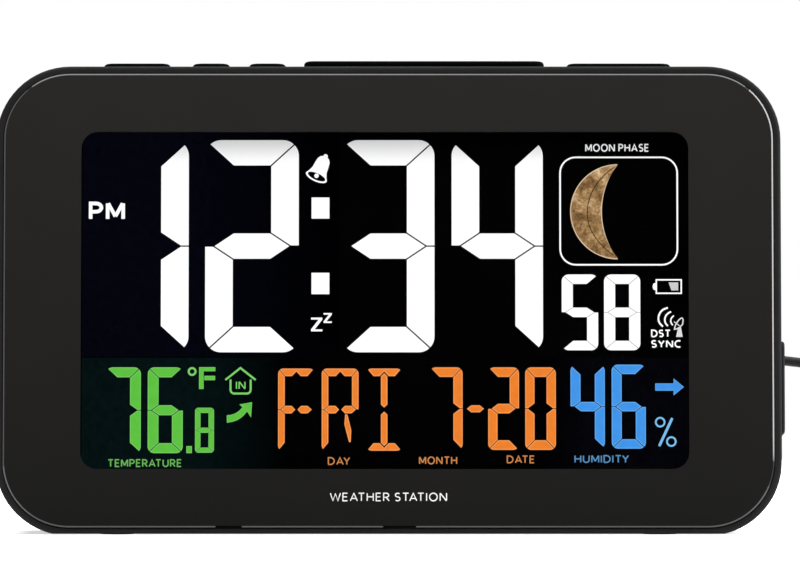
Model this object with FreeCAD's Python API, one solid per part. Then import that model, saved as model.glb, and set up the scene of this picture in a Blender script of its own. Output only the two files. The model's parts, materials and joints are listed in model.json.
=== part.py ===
import FreeCAD, Part
import math
import os

# Desk weather clock: a slab-shaped housing that leans back, a large colour
# display behind a clear window, five push buttons on top, a battery
# compartment in the back and a mains adapter on a thin lead.
#
# Face frame, in which the clock itself is drawn: X to the viewer's right,
# Y into the clock with the bezel's face at Y = 0, Z up from the lower edge.
# Row frame: the same, leaned back about the lower front edge, standing on
# Z = 0 with the origin under the middle of the clock.

Vec = FreeCAD.Vector

# Housing
WIDTH = 191.3
HEIGHT = 114.65
DEPTH = 34.0
CORNER = 18.0
LEAN = 5.0
WALL = 1.7
BACK_WALL = 2.2
RIM_FRONT = 0.6
RIM_EDGE = 0.9
BACK_EDGE = 5.0
SEAM = 0.25

# Standing
FOOT_PROUD = 0.25
FOOT_RECESS = 0.65
FOOT_RADIUS = 4.0
FOOT_X = 66.0
FOOT_Y = (-14.5, 5.5)
LIFT = -0.1
BACK_SHIFT = 21.4

# Bezel and window
BEZEL_FACE = 1.4
BEZEL_SKIRT = 1.6
SKIRT_BACK = 9.0
BEZEL_CHAMFER = 0.42
RELEASE_NOTCHES = [(-42.0, -35.6), (-1.3, 6.7)]
NOTCH_DEEP = 0.4
WINDOW = (148.0, 82.4)
WINDOW_X = -0.9
WINDOW_CORNER = 4.1
LENS_LAP = 2.5
LENS_FRONT = 1.45
LENS_THICK = 1.5

# Display stack: front of each layer in Y, and its thickness
FRONT_POLARISER = (3.2, 0.2)
FRONT_GLASS = (3.45, 1.0)
REAR_GLASS = (4.5, 1.0)
REAR_POLARISER = (5.55, 0.15)
COLOUR_FILM = (5.75, 0.12)
DIFFUSER = (5.95, 0.2)
LIGHT_GUIDE = (6.2, 2.4)
REFLECTOR = (8.65, 0.15)
GLASS = (154.0, 91.0)
GLASS_LEDGE = 2.5
FRAME_WALL = 1.8
FRAME_BACK = (8.85, 0.8)
DISPLAY_SPLIT = 43.0

# Boards
BOARD = (172.0, 72.0)
BOARD_LOW = 24.0
BOARD_FRONT = 10.2
BOARD_THICK = 1.6
BOARD_SCREW_X = 83.0
BOARD_SCREW_Z = (30.0, 90.0)
KEY_BOARD = ((-77.7, 77.0), 20.0, 1.2)
KEY_BOARD_FRONT = 10.6
KEY_BOARD_TOP = 103.6
KEY_POST_X = (-74.5, 73.6)
KEY_POST_Y = 26.0

# Components on the back of the main board: X and Z ranges, or places and sizes
CHIP = ((-7.0, 7.0), (61.0, 75.0), 1.5)
CHIP_PINS = 12
CHIP_PIN_REACH = 1.6
CHIP_PIN_THICK = 0.5
CRYSTAL = ((16.0, 27.0), (66.0, 70.6), 3.5)
CAPACITORS = [(40, 80, 3.1, 9), (50, 80, 3.1, 9), (58, 66, 2.5, 6), (-30, 84, 2.5, 6)]
LED_COUNT = 8
LED_PITCH = 18.0

# Radio aerial, receiver, buzzer and humidity sensor
AERIAL_X = (-64.0, -14.0)
AERIAL_PLACE = (24.5, 90.0)
AERIAL_RADIUS = 4.0
WINDING_X = (-60.0, -47.0)
WINDING_RADIUS = 4.9
RECEIVER = ((-40.0, -18.0), (15.5, 16.7), (66.0, 80.0))
RECEIVER_CHIP = ((-33.0, -27.0), (16.7, 18.0), (70.0, 76.0))
BUZZER_X = -71.5
BUZZER_Z = 77.0
BUZZER_RADIUS = 8.0
BUZZER_DEEP = 4.9
SENSOR = ((-91.5, -90.3), (12.0, 26.0), (31.0, 43.0))
SENSOR_CAN = ((-92.6, -91.5), (16.0, 21.0), (34.5, 39.5))

# Slots in the back for the sound and in the left side for the air
SOUND_SLOTS = 7
SOUND_FIRST = -82.0
SOUND_PITCH = 3.2
SOUND_WIDTH = 1.4
SOUND_Z = (70.0, 84.0)
AIR_SLOTS = 6
AIR_FIRST = 11.0
AIR_PITCH = 3.0
AIR_WIDTH = 1.3
AIR_Z = (30.0, 44.0)

# Label on the back
LABEL_X = (0.0, 52.0)
LABEL_Z = (68.0, 94.0)
LABEL_RECESS = 0.25

# Screws
SCREW_SHANK = 1.3
SCREW_HEAD = 2.6
SCREW_CLEAR = 1.6
PILOT = 1.32
HOUSING_SCREWS = [(-83.2, 13.5), (83.2, 13.5), (-83.2, 100.0), (83.2, 100.0)]
BOSS_JOINT = 15.0
BOSS_RADIUS = 3.2
POCKET_RADIUS = 3.1
POCKET_FLOOR = 17.2

# Top buttons: name, left end, right end, height above the housing, depth
BUTTONS = [
    ("settings_button", -70.1, -53.7, 2.3, 9.0),
    ("down_button", -48.3, -39.1, 2.3, 9.0),
    ("up_button", -34.4, -25.3, 2.3, 9.0),
    ("snooze_bar", -20.8, 38.2, 2.65, 13.0),
    ("light_button", 43.8, 69.4, 2.3, 9.0),
]
BUTTON_Y = 18.0
BUTTON_GAP = 0.35
CAP_CORNER = 2.6
CAP_EDGE = 0.9
BUTTON_FLANGE = 0.8
FLANGE_THICK = 1.4
FLANGE_GAP = 0.35
STEM_RADIUS = 1.6
STEM_HOLE = 2.0
SWITCH = (6.2, 6.2, 3.6)
SWITCH_WELL = 2.4
STEM_IN_WELL = 1.0

# Side port
PORT_LOW = 25.3
PORT_HIGH = 48.2
PORT_PROUD = 1.35
PORT_Y = (11.0, 25.0)
PORT_CORNER = 2.0
PORT_EDGE = 0.7
PORT_GAP = 0.25
USB_OUTSIDE = (5.7, 13.1)
USB_WALL = 0.3
USB_LONG = 14.0
USB_SET_IN = 0.3
USB_TONGUE = (1.8, 11.0)
USB_Z = 36.7
USB_Y = 18.0

# Battery compartment
CELL_RADIUS = 5.2
CELL_LONG = 43.5
NUB_RADIUS = 1.9
NUB_LONG = 0.95
CELL_Y = 26.2
CELL_Z = (35.6, 48.4)
BAY_X = (-60.5, -9.5)
BAY_Z = (29.6, 54.4)
BAY_FLOOR = 20.6
BAY_WALL = 1.4
DOOR_X = (-63.0, -7.0)
DOOR_Z = (27.2, 56.8)
DOOR_THICK = 1.6
DOOR_GAP = 0.35
CONTACT = 0.4
SPRING_WIRE = 0.45
SPRING_RADIUS = 3.0
SPRING_TURNS = 3

# Low-voltage jack and its right-angle plug
JACK_X = 68.0
JACK_Z = 48.15
JACK_NOSE = 4.0
JACK_HOLE = 2.9
JACK_PIN = 0.95
JACK_BODY = (9.0, 11.0)
JACK_FRONT = 20.0
JACK_PAD = 7.0
JACK_PAD_THICK = 1.6
PLUG_BARREL = 2.75
PLUG_BORE = 1.1
PLUG_BODY = 4.8
PLUG_GAP = 0.3
PLUG_TALL = 10.4
PLUG_DROOP = 5.2
PLUG_ARM = 3.4
RELIEF_START = 5.0
RELIEF_LONG = 13.0
RELIEF_RIBS = 5
RIB_PITCH = 2.1
RIB_FIRST = 1.8
RIB_WIDTH = 0.8
RIB_DEEP = 0.65

# Lead: its points are in the row frame, from the plug to the coil and on
LEAD_RADIUS = 1.2
COIL_X = 140.0
COIL_Y = -2.0
COIL_COLUMNS = (14.1, 16.5, 18.9)
COIL_LAYERS = 4
CORD_POINTS = [
    (87.42, 21.99, 42.66),
    (106.0, 21.6, 41.6),
    (113.6, 20.6, 37.2),
    (117.4, 18.2, 29.0),
    (118.8, 14.4, 19.6),
    (119.0, 9.6, 10.8),
    (118.7, 3.6, 4.1),
    (118.3, -3.8, 1.4),
    (119.8, -11.2, 1.2),
    (124.3, -17.2, 1.2),
]
TAIL_POINTS = [
    (145.5, -20.0, 8.4),
    (152.5, -17.2, 8.3),
    (159.5, -12.6, 7.9),
    (167.0, -9.4, 7.6),
    (175.0, -8.6, 7.5),
]

# Mains adapter, lying on its side
ADAPTER_X = (186.0, 222.0)
ADAPTER_Y = (-21.0, 7.0)
ADAPTER_TALL = 24.0
ADAPTER_EDGE = 2.5
ADAPTER_LEAD = (-8.6, 7.5)
ADAPTER_RELIEF = (2.0, 3.6)
BLADE = (17.0, 1.5, 6.3)
BLADE_PITCH = 12.7


def in_row_frame(shape):
    """The same shape, leaned back and standing in the row frame."""
    turned = shape.copy()
    turned.rotate(Vec(0, 0, 0), Vec(1, 0, 0), -LEAN)
    turned.translate(Vec(0, -BACK_SHIFT, LIFT))
    return turned


def in_face_frame(shape):
    """The same shape, taken from the row frame into the face frame."""
    turned = shape.copy()
    turned.translate(Vec(0, BACK_SHIFT, -LIFT))
    turned.rotate(Vec(0, 0, 0), Vec(1, 0, 0), LEAN)
    return turned


def block(x, y, z):
    """A box from three (low, high) pairs."""
    return Part.makeBox(x[1] - x[0], y[1] - y[0], z[1] - z[0], Vec(x[0], y[0], z[0]))


def rod(radius, start, end):
    """A round bar from one point to another."""
    run = Vec(*end) - Vec(*start)
    return Part.makeCylinder(radius, run.Length, Vec(*start), run)


def join(shapes):
    """One solid from overlapping ones."""
    return shapes[0].multiFuse(shapes[1:]).removeSplitter()


def group(shapes):
    """Separate solids kept in one part."""
    return Part.makeCompound(shapes)


def edges_along(shape, axis):
    """The straight edges that run along one axis."""
    found = []
    for edge in shape.Edges:
        run = edge.Vertexes[-1].Point - edge.Vertexes[0].Point
        if run.Length > 0 and abs(abs(run.dot(axis)) - run.Length) < 1e-6:
            found.append(edge)
    return found


def edges_at(shape, axis, place):
    """The edges that lie in one plane across an axis."""
    found = []
    for edge in shape.Edges:
        if all(abs(v.Point.dot(axis) - place) < 1e-6 for v in edge.Vertexes):
            found.append(edge)
    return found


def panel(width, height, corner, front, back, centre_x=0.0, centre_z=HEIGHT / 2):
    """An upright panel with round corners, between two depths."""
    x = (centre_x - width / 2, centre_x + width / 2)
    z = (centre_z - height / 2, centre_z + height / 2)
    slab = block(x, (front, back), z)
    return slab.makeFillet(corner, edges_along(slab, Vec(0, 1, 0)))


def housing_panel(inset, front, back):
    """A panel of the housing's outline, drawn in by an inset."""
    return panel(WIDTH - 2 * inset, HEIGHT - 2 * inset, CORNER - inset, front, back)


def tub_panel(inset, front, back):
    """A housing panel whose lower corners run level instead of along Y."""
    width = WIDTH - 2 * inset
    tall = HEIGHT - inset + 2 * CORNER
    rise = math.tan(math.radians(LEAN))
    upper = panel(width, tall, CORNER - inset, front, back, 0.0, HEIGHT - inset - tall / 2)
    lower = panel(width, tall, CORNER - inset, front, back, 0.0, inset + tall / 2)
    outline = min(lower.Faces, key=lambda face: face.CenterOfMass.y)
    outline.translate(Vec(0, 0, (front - BEZEL_FACE) * rise))
    return upper.common(outline.extrude(Vec(0, back - front, (back - front) * rise)))


def below(level):
    """The space under a level of the row frame, seen in the face frame."""
    return in_face_frame(block((-WIDTH, WIDTH), (-WIDTH, WIDTH), (level - HEIGHT, level)))


# Front


def window_panel(grow, front, back):
    corner = WINDOW_CORNER + grow
    return panel(WINDOW[0] + 2 * grow, WINDOW[1] + 2 * grow, corner, front, back, WINDOW_X)


def make_front_bezel():
    inset = WALL + SEAM
    face = housing_panel(inset, 0, BEZEL_FACE)
    face = face.makeChamfer(BEZEL_CHAMFER, edges_at(face, Vec(0, 1, 0), 0))
    skirt = tub_panel(inset, BEZEL_FACE, SKIRT_BACK)
    skirt = skirt.cut(housing_panel(inset + BEZEL_SKIRT, 0, DEPTH))
    skirt = skirt.cut(below(FOOT_PROUD + WALL + SEAM))
    pieces = [face, skirt]
    for x, z in HOUSING_SCREWS:
        pieces.append(rod(BOSS_RADIUS, (x, BEZEL_FACE / 2, z), (x, BOSS_JOINT, z)))
    for x in (-BOARD_SCREW_X, BOARD_SCREW_X):
        for z in BOARD_SCREW_Z:
            pieces.append(rod(BOSS_RADIUS - 0.6, (x, BEZEL_FACE / 2, z), (x, BOARD_FRONT, z)))
    bezel = join(pieces).cut(window_panel(0, -1, BEZEL_FACE + 1))
    for x in RELEASE_NOTCHES:
        bezel = bezel.cut(block(x, (-1, SKIRT_BACK), (0, inset + NOTCH_DEEP)))
    for x, z in HOUSING_SCREWS:
        bezel = bezel.cut(rod(PILOT, (x, BEZEL_FACE + 1, z), (x, DEPTH, z)))
    for x in (-BOARD_SCREW_X, BOARD_SCREW_X):
        for z in BOARD_SCREW_Z:
            bezel = bezel.cut(rod(PILOT, (x, BEZEL_FACE + 1, z), (x, DEPTH, z)))
    return bezel


def make_window_lens():
    return window_panel(LENS_LAP, LENS_FRONT, LENS_FRONT + LENS_THICK)


# Display stack


def layer(place, trim, low_trim=0.0, high_trim=0.0):
    """A sheet of the display stack, a little smaller than the glass."""
    front, thick = place
    x = (WINDOW_X - GLASS[0] / 2 + trim, WINDOW_X + GLASS[0] / 2 - trim)
    middle = HEIGHT / 2
    z = (middle - GLASS[1] / 2 + trim + low_trim, middle + GLASS[1] / 2 - trim - high_trim)
    return block(x, (front, front + thick), z)


def film_zone(x, z):
    """A patch of the coloured film."""
    front, thick = COLOUR_FILM
    return block(x, (front, front + thick), z)


def make_backlight_frame():
    front = REAR_POLARISER[0]
    back = FRAME_BACK[0] + FRAME_BACK[1]
    outer = layer((front, back - front), -FRAME_WALL)
    well = layer((front - 1, FRAME_BACK[0] - front + 1), -0.15)
    frame = outer.cut(well)
    for side in (-1, 1):
        hole_x = WINDOW_X + side * GLASS[0] / 4
        x = (hole_x - GLASS[0] / 6, hole_x + GLASS[0] / 6)
        z = (HEIGHT / 2 - GLASS[1] / 3, HEIGHT / 2 + GLASS[1] / 3)
        frame = frame.cut(block(x, (front, DEPTH), z))
    return frame


def make_led_strip():
    front, thick = LIGHT_GUIDE
    low = HEIGHT / 2 - GLASS[1] / 2 + 0.2
    x = (WINDOW_X - 70, WINDOW_X + 70)
    pieces = [block(x, (front, front + thick), (low, low + 0.6))]
    for i in range(LED_COUNT):
        led_x = WINDOW_X + LED_PITCH * (i - (LED_COUNT - 1) / 2)
        led = block((led_x - 1.5, led_x + 1.5), (front + 0.6, front + 1.8), (low + 0.5, low + 1.3))
        pieces.append(led)
    return join(pieces)


# Boards


def make_main_board():
    x = (-BOARD[0] / 2, BOARD[0] / 2)
    y = (BOARD_FRONT, BOARD_FRONT + BOARD_THICK)
    board = block(x, y, (BOARD_LOW, BOARD_LOW + BOARD[1]))
    board = board.makeFillet(2.0, edges_along(board, Vec(0, 1, 0)))
    for side in (-1, 1):
        for z in BOARD_SCREW_Z:
            hole_x = side * BOARD_SCREW_X
            board = board.cut(rod(SCREW_CLEAR, (hole_x, 0, z), (hole_x, DEPTH, z)))
    return board


def on_board(x, z, thick):
    """A flat component on the back of the main board."""
    front = BOARD_FRONT + BOARD_THICK
    return block(x, (front, front + thick), z)


def make_controller_chip():
    x, z, thick = CHIP
    pitch = (x[1] - x[0]) / (CHIP_PINS + 1)
    wide_x = (x[0] - CHIP_PIN_REACH, x[1] + CHIP_PIN_REACH)
    wide_z = (z[0] - CHIP_PIN_REACH, z[1] + CHIP_PIN_REACH)
    pieces = [on_board(x, z, thick)]
    for i in range(CHIP_PINS):
        step = pitch * (i + 1)
        across = (z[0] + step - 0.2, z[0] + step + 0.2)
        along = (x[0] + step - 0.2, x[0] + step + 0.2)
        pieces.append(on_board(wide_x, across, CHIP_PIN_THICK))
        pieces.append(on_board(along, wide_z, CHIP_PIN_THICK))
    return join(pieces)


def make_crystal_can():
    can = on_board(*CRYSTAL)
    return can.makeFillet(2.2, edges_along(can, Vec(0, 1, 0)))


def make_capacitors():
    back = BOARD_FRONT + BOARD_THICK
    cans = []
    for x, z, radius, tall in CAPACITORS:
        cans.append(rod(radius, (x, back, z), (x, back + tall, z)))
    return group(cans)


def make_board_screws():
    back = BOARD_FRONT + BOARD_THICK
    screws = []
    for side in (-1, 1):
        for z in BOARD_SCREW_Z:
            x = side * BOARD_SCREW_X
            shank = rod(SCREW_SHANK, (x, BOARD_FRONT - 5, z), (x, back + 0.5, z))
            head = rod(SCREW_HEAD, (x, back, z), (x, back + 1.6, z))
            screws.append(join([shank, head]))
    return group(screws)


def make_key_board():
    x, deep, thick = KEY_BOARD
    y = (KEY_BOARD_FRONT, KEY_BOARD_FRONT + deep)
    board = block(x, y, (KEY_BOARD_TOP - thick, KEY_BOARD_TOP))
    for x in KEY_POST_X:
        hole = rod(SCREW_CLEAR, (x, KEY_POST_Y, 0), (x, KEY_POST_Y, HEIGHT))
        board = board.cut(hole)
    return board


def make_key_board_screws():
    under = KEY_BOARD_TOP - KEY_BOARD[2]
    screws = []
    for x in KEY_POST_X:
        shank = rod(SCREW_SHANK, (x, KEY_POST_Y, under - 0.5), (x, KEY_POST_Y, KEY_BOARD_TOP + 4))
        head = rod(SCREW_HEAD, (x, KEY_POST_Y, under - 1.6), (x, KEY_POST_Y, under))
        screws.append(join([shank, head]))
    return group(screws)


def switch_places():
    """The middle of each switch: two under the long snooze bar."""
    places = []
    for name, left, right, _, _ in BUTTONS:
        middle = (left + right) / 2
        offsets = (-20.0, 20.0) if name == "snooze_bar" else (0.0,)
        for offset in offsets:
            places.append((name, middle + offset))
    return places


def make_switch_bodies():
    wide, deep, tall = SWITCH
    bodies = []
    for _, x in switch_places():
        y = (BUTTON_Y - deep / 2, BUTTON_Y + deep / 2)
        body = block((x - wide / 2, x + wide / 2), y, (KEY_BOARD_TOP, KEY_BOARD_TOP + tall))
        body = body.makeFillet(0.5, edges_along(body, Vec(0, 0, 1)))
        top = KEY_BOARD_TOP + tall
        well = rod(STEM_HOLE, (x, BUTTON_Y, top - SWITCH_WELL), (x, BUTTON_Y, top + 1))
        bodies.append(body.cut(well))
    return group(bodies)


# Buttons


def make_button(left, right, proud, deep):
    """A cap through the top wall, with a flange that keeps it inside."""
    under_wall = HEIGHT - WALL - FLANGE_GAP
    y = (BUTTON_Y - deep / 2, BUTTON_Y + deep / 2)
    cap = block((left, right), y, (under_wall - FLANGE_THICK / 2, HEIGHT + proud))
    cap = cap.makeFillet(CAP_CORNER, edges_along(cap, Vec(0, 0, 1)))
    cap = cap.makeFillet(CAP_EDGE, edges_at(cap, Vec(0, 0, 1), HEIGHT + proud))
    wide = BUTTON_GAP + BUTTON_FLANGE
    flange_x = (left - wide, right + wide)
    flange_y = (y[0] - wide, y[1] + wide)
    flange = block(flange_x, flange_y, (under_wall - FLANGE_THICK, under_wall))
    return join([cap, flange])


def make_stems(button):
    """The switch stems that a button pushes down."""
    top = HEIGHT - WALL - FLANGE_GAP - FLANGE_THICK
    bottom = KEY_BOARD_TOP + SWITCH[2] - STEM_IN_WELL
    stems = []
    for name, x in switch_places():
        if name == button:
            stems.append(rod(STEM_RADIUS, (x, BUTTON_Y, bottom), (x, BUTTON_Y, top)))
    return group(stems)


def button_slot(left, right, deep):
    """The hole in the top wall that a cap moves in."""
    x = (left - BUTTON_GAP, right + BUTTON_GAP)
    y = (BUTTON_Y - deep / 2 - BUTTON_GAP, BUTTON_Y + deep / 2 + BUTTON_GAP)
    slot = block(x, y, (HEIGHT - WALL - 1, HEIGHT + 1))
    return slot.makeFillet(CAP_CORNER + BUTTON_GAP, edges_along(slot, Vec(0, 0, 1)))


# Housing


def make_shell():
    """The hollow tub with its flat base, level lower corners and rounded back."""
    outer = tub_panel(0, RIM_FRONT, DEPTH)
    outer = outer.makeFillet(BACK_EDGE, edges_at(outer, Vec(0, 1, 0), DEPTH))
    outer = outer.makeFillet(RIM_EDGE, edges_at(outer, Vec(0, 1, 0), RIM_FRONT))
    outer = outer.cut(below(FOOT_PROUD))
    inner = tub_panel(WALL, RIM_FRONT - 1, DEPTH - BACK_WALL)
    rounded = inner.makeFillet(BACK_EDGE - 2, edges_at(inner, Vec(0, 1, 0), DEPTH - BACK_WALL))
    mouth = tub_panel(WALL, RIM_FRONT - 1, BEZEL_FACE + SEAM)
    return outer.cut(rounded.cut(below(FOOT_PROUD + WALL))).cut(mouth)


def housing_additions():
    """Bosses, posts and the battery bay, before their holes are cut."""
    inside = DEPTH - BACK_WALL / 2
    pieces = []
    for x, z in HOUSING_SCREWS:
        pieces.append(rod(POCKET_RADIUS + 1.4, (x, BOSS_JOINT + 0.2, z), (x, inside, z)))
    for x in KEY_POST_X:
        pieces.append(rod(3.0, (x, KEY_POST_Y, KEY_BOARD_TOP + 0.05), (x, KEY_POST_Y, HEIGHT - WALL / 2)))
    x = (BAY_X[0] - BAY_WALL - 2.6, BAY_X[1] + BAY_WALL + 2.6)
    z = (BAY_Z[0] - BAY_WALL - 2.6, BAY_Z[1] + BAY_WALL + 2.6)
    pieces.append(block(x, (DEPTH - BACK_WALL - 2, inside), z))
    x = (BAY_X[0] - BAY_WALL, BAY_X[1] + BAY_WALL)
    z = (BAY_Z[0] - BAY_WALL, BAY_Z[1] + BAY_WALL)
    pieces.append(block(x, (BAY_FLOOR - BAY_WALL, inside), z))
    x = (JACK_X - JACK_PAD, JACK_X + JACK_PAD)
    z = (JACK_Z - JACK_PAD, JACK_Z + JACK_PAD)
    pieces.append(block(x, (DEPTH - BACK_WALL - JACK_PAD_THICK, inside), z))
    return pieces


def vent_slots():
    """Sound slots in the back, and air slots in the left side."""
    cuts = []
    for i in range(SOUND_SLOTS):
        x = SOUND_FIRST + SOUND_PITCH * i
        slot = block((x, x + SOUND_WIDTH), (DEPTH - 4, DEPTH + 1), SOUND_Z)
        cuts.append(slot.makeFillet(0.49 * SOUND_WIDTH, edges_along(slot, Vec(0, 1, 0))))
    for i in range(AIR_SLOTS):
        y = AIR_FIRST + AIR_PITCH * i
        slot = block((-WIDTH / 2 - 1, -WIDTH / 2 + 3), (y, y + AIR_WIDTH), AIR_Z)
        cuts.append(slot.makeFillet(0.49 * AIR_WIDTH, edges_along(slot, Vec(1, 0, 0))))
    return cuts


def housing_cuts():
    """Every hole and pocket in the housing."""
    cuts = vent_slots()
    for x, z in HOUSING_SCREWS:
        cuts.append(rod(POCKET_RADIUS, (x, POCKET_FLOOR, z), (x, DEPTH + 1, z)))
        cuts.append(rod(SCREW_CLEAR, (x, 0, z), (x, DEPTH, z)))
    for x in KEY_POST_X:
        cuts.append(rod(PILOT, (x, KEY_POST_Y, KEY_BOARD_TOP - 1), (x, KEY_POST_Y, KEY_BOARD_TOP + 5)))
    for _, left, right, _, deep in BUTTONS:
        cuts.append(button_slot(left, right, deep))
    cuts.append(block(BAY_X, (BAY_FLOOR, DEPTH + 1), BAY_Z))
    recess_x = (DOOR_X[0] - DOOR_GAP, DOOR_X[1] + DOOR_GAP)
    recess_z = (DOOR_Z[0] - DOOR_GAP, DOOR_Z[1] + DOOR_GAP)
    cuts.append(block(recess_x, (DEPTH - DOOR_THICK - DOOR_GAP, DEPTH + 1), recess_z))
    for x in tab_places():
        tab_room = (x - 4.5, x + 4.5)
        cuts.append(block(tab_room, (DEPTH - 5.6, DEPTH - 1.9), (DOOR_Z[0] - 2.6, BAY_Z[0] + 1)))
    thumb_x = sum(DOOR_X) / 2
    cuts.append(Part.makeSphere(9.0, Vec(thumb_x, DEPTH + 7.4, DOOR_Z[1] + 1.0)))
    cuts.append(rod(JACK_NOSE + 0.25, (JACK_X, DEPTH - 6, JACK_Z), (JACK_X, DEPTH + 1, JACK_Z)))
    half_deep = USB_OUTSIDE[0] / 2 + PORT_GAP
    half_tall = USB_OUTSIDE[1] / 2 + PORT_GAP
    side = (WIDTH / 2 - 4, WIDTH / 2 + 1)
    cuts.append(block(side, (USB_Y - half_deep, USB_Y + half_deep), (USB_Z - half_tall, USB_Z + half_tall)))
    cuts.append(block(LABEL_X, (DEPTH - LABEL_RECESS, DEPTH + 1), LABEL_Z))
    for x in (-FOOT_X, FOOT_X):
        for y in FOOT_Y:
            cuts.append(in_face_frame(rod(FOOT_RADIUS + 0.1, (x, y, -1), (x, y, FOOT_PROUD + FOOT_RECESS))))
    return cuts


def make_rear_housing():
    housing = join([make_shell()] + housing_additions())
    return housing.cut(housing_cuts())


def make_rating_label():
    margin = 0.2
    x = (LABEL_X[0] + margin, LABEL_X[1] - margin)
    z = (LABEL_Z[0] + margin, LABEL_Z[1] - margin)
    return block(x, (DEPTH - LABEL_RECESS, DEPTH - LABEL_RECESS + 0.17), z)


def make_housing_screws():
    screws = []
    for x, z in HOUSING_SCREWS:
        shank = rod(SCREW_SHANK, (x, 7.0, z), (x, POCKET_FLOOR + 0.5, z))
        head = rod(SCREW_HEAD, (x, POCKET_FLOOR, z), (x, POCKET_FLOOR + 2.0, z))
        arm = 1.7
        top = (POCKET_FLOOR + 1.1, POCKET_FLOOR + 3)
        cross = block((x - arm, x + arm), top, (z - 0.35, z + 0.35))
        upright = block((x - 0.35, x + 0.35), top, (z - arm, z + arm))
        screws.append(join([shank, head]).cut([cross, upright]))
    return group(screws)


def make_rubber_feet():
    feet = []
    for x in (-FOOT_X, FOOT_X):
        for y in FOOT_Y:
            foot = rod(FOOT_RADIUS, (x, y, 0), (x, y, FOOT_PROUD + FOOT_RECESS))
            feet.append(foot)
    return group(feet)


# Battery compartment


def tab_places():
    """The middles of the door's two hooking tabs."""
    middle = sum(DOOR_X) / 2
    return (middle - 17, middle + 17)


def make_battery_door():
    back = DEPTH
    front = DEPTH - DOOR_THICK
    door = block(DOOR_X, (front, back), DOOR_Z)
    pieces = [door]
    for x in tab_places():
        neck = block((x - 4, x + 4), (front - 1.8, front + 0.4), (DOOR_Z[0], DOOR_Z[0] + 1.6))
        hook = block((x - 4, x + 4), (front - 1.8, front - 0.7), (DOOR_Z[0] - 1.9, DOOR_Z[0] + 1.6))
        pieces.extend([neck, hook])
    middle = sum(DOOR_X) / 2
    for i in range(4):
        z = DOOR_Z[1] - 4.0 - 2.0 * i
        pieces.append(block((middle - 8, middle + 8), (back - 0.2, back + 0.35), (z - 0.4, z + 0.4)))
    return join(pieces)


def make_cell(z, facing):
    """One AAA cell; facing is +1 when its nub points along +X."""
    length = CELL_LONG + NUB_LONG
    nub_tip = BAY_X[1] - CONTACT - 0.3 if facing > 0 else BAY_X[0] + CONTACT + 0.3
    far_end = nub_tip - facing * length
    shoulder = nub_tip - facing * NUB_LONG
    can = rod(CELL_RADIUS, (shoulder, CELL_Y, z), (far_end, CELL_Y, z))
    can = can.makeFillet(0.5, [e for e in can.Edges if e.Curve.TypeId == "Part::GeomCircle"])
    nub = rod(NUB_RADIUS, (shoulder - facing, CELL_Y, z), (nub_tip, CELL_Y, z))
    return join([can, nub])


def make_contacts():
    """Plates at the ends of the bay: one long bridge and two short ones."""
    y = (CELL_Y - 4.6, CELL_Y + 4.6)
    left = (BAY_X[0] + 0.15, BAY_X[0] + 0.15 + CONTACT)
    right = (BAY_X[1] - 0.15 - CONTACT, BAY_X[1] - 0.15)
    plates = [block(left, y, (BAY_Z[0] + 0.6, BAY_Z[1] - 0.6))]
    for z in CELL_Z:
        plates.append(block(right, y, (z - 5.0, z + 5.0)))
    return group(plates)


def make_spring(z, facing):
    """The coil spring behind a cell's flat end, as a helix swept with its wire."""
    plate = BAY_X[0] + CONTACT + 0.2 if facing > 0 else BAY_X[1] - CONTACT - 0.2
    nub_tip = BAY_X[1] - CONTACT - 0.3 if facing > 0 else BAY_X[0] + CONTACT + 0.3
    cell_end = nub_tip - facing * (CELL_LONG + NUB_LONG)
    room = abs(cell_end - plate) - 2 * SPRING_WIRE - 0.1
    helix = Part.makeHelix(room / SPRING_TURNS, room, SPRING_RADIUS)
    wire = Part.Wire(Part.makeCircle(SPRING_WIRE, Vec(SPRING_RADIUS, 0, 0), Vec(0, 1, 0)))
    spring = Part.Wire(helix).makePipeShell([wire], True, True)
    spring.rotate(Vec(0, 0, 0), Vec(0, 1, 0), 90 * facing)
    spring.translate(Vec(plate + facing * (SPRING_WIRE + 0.05), CELL_Y, z))
    return spring


# Side port and jack


def make_port_surround():
    half_deep = USB_OUTSIDE[0] / 2 + PORT_GAP
    half_tall = USB_OUTSIDE[1] / 2 + PORT_GAP
    x = (WIDTH / 2, WIDTH / 2 + PORT_PROUD)
    pad = block(x, PORT_Y, (PORT_LOW, PORT_HIGH))
    pad = pad.makeFillet(PORT_CORNER, edges_along(pad, Vec(1, 0, 0)))
    pad = pad.makeFillet(PORT_EDGE, edges_at(pad, Vec(1, 0, 0), x[1]))
    y = (USB_Y - half_deep, USB_Y + half_deep)
    return pad.cut(block((x[0] - 1, x[1] + 1), y, (USB_Z - half_tall, USB_Z + half_tall)))


def usb_sleeve(x, deep, tall):
    """A bar of the connector's section, about its middle line."""
    y = (USB_Y - deep / 2, USB_Y + deep / 2)
    z = (USB_Z - tall / 2, USB_Z + tall / 2)
    return block(x, y, z)


def usb_mouth():
    """How far right the connector reaches, just inside its surround."""
    return WIDTH / 2 + PORT_PROUD - USB_SET_IN


def make_usb_shell():
    deep, tall = USB_OUTSIDE
    x = (usb_mouth() - USB_LONG, usb_mouth())
    shell = usb_sleeve(x, deep, tall)
    shell = shell.makeFillet(0.6, edges_along(shell, Vec(1, 0, 0)))
    inside = usb_sleeve((x[0] + 1, x[1] + 1), deep - 2 * USB_WALL, tall - 2 * USB_WALL)
    return shell.cut(inside)


def make_usb_tongue():
    thick, tall = USB_TONGUE
    x = (usb_mouth() - USB_LONG + 1.05, usb_mouth() - 1.2)
    y = (USB_Y - thick - 0.1, USB_Y - 0.1)
    return block(x, y, (USB_Z - tall / 2, USB_Z + tall / 2))


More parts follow.
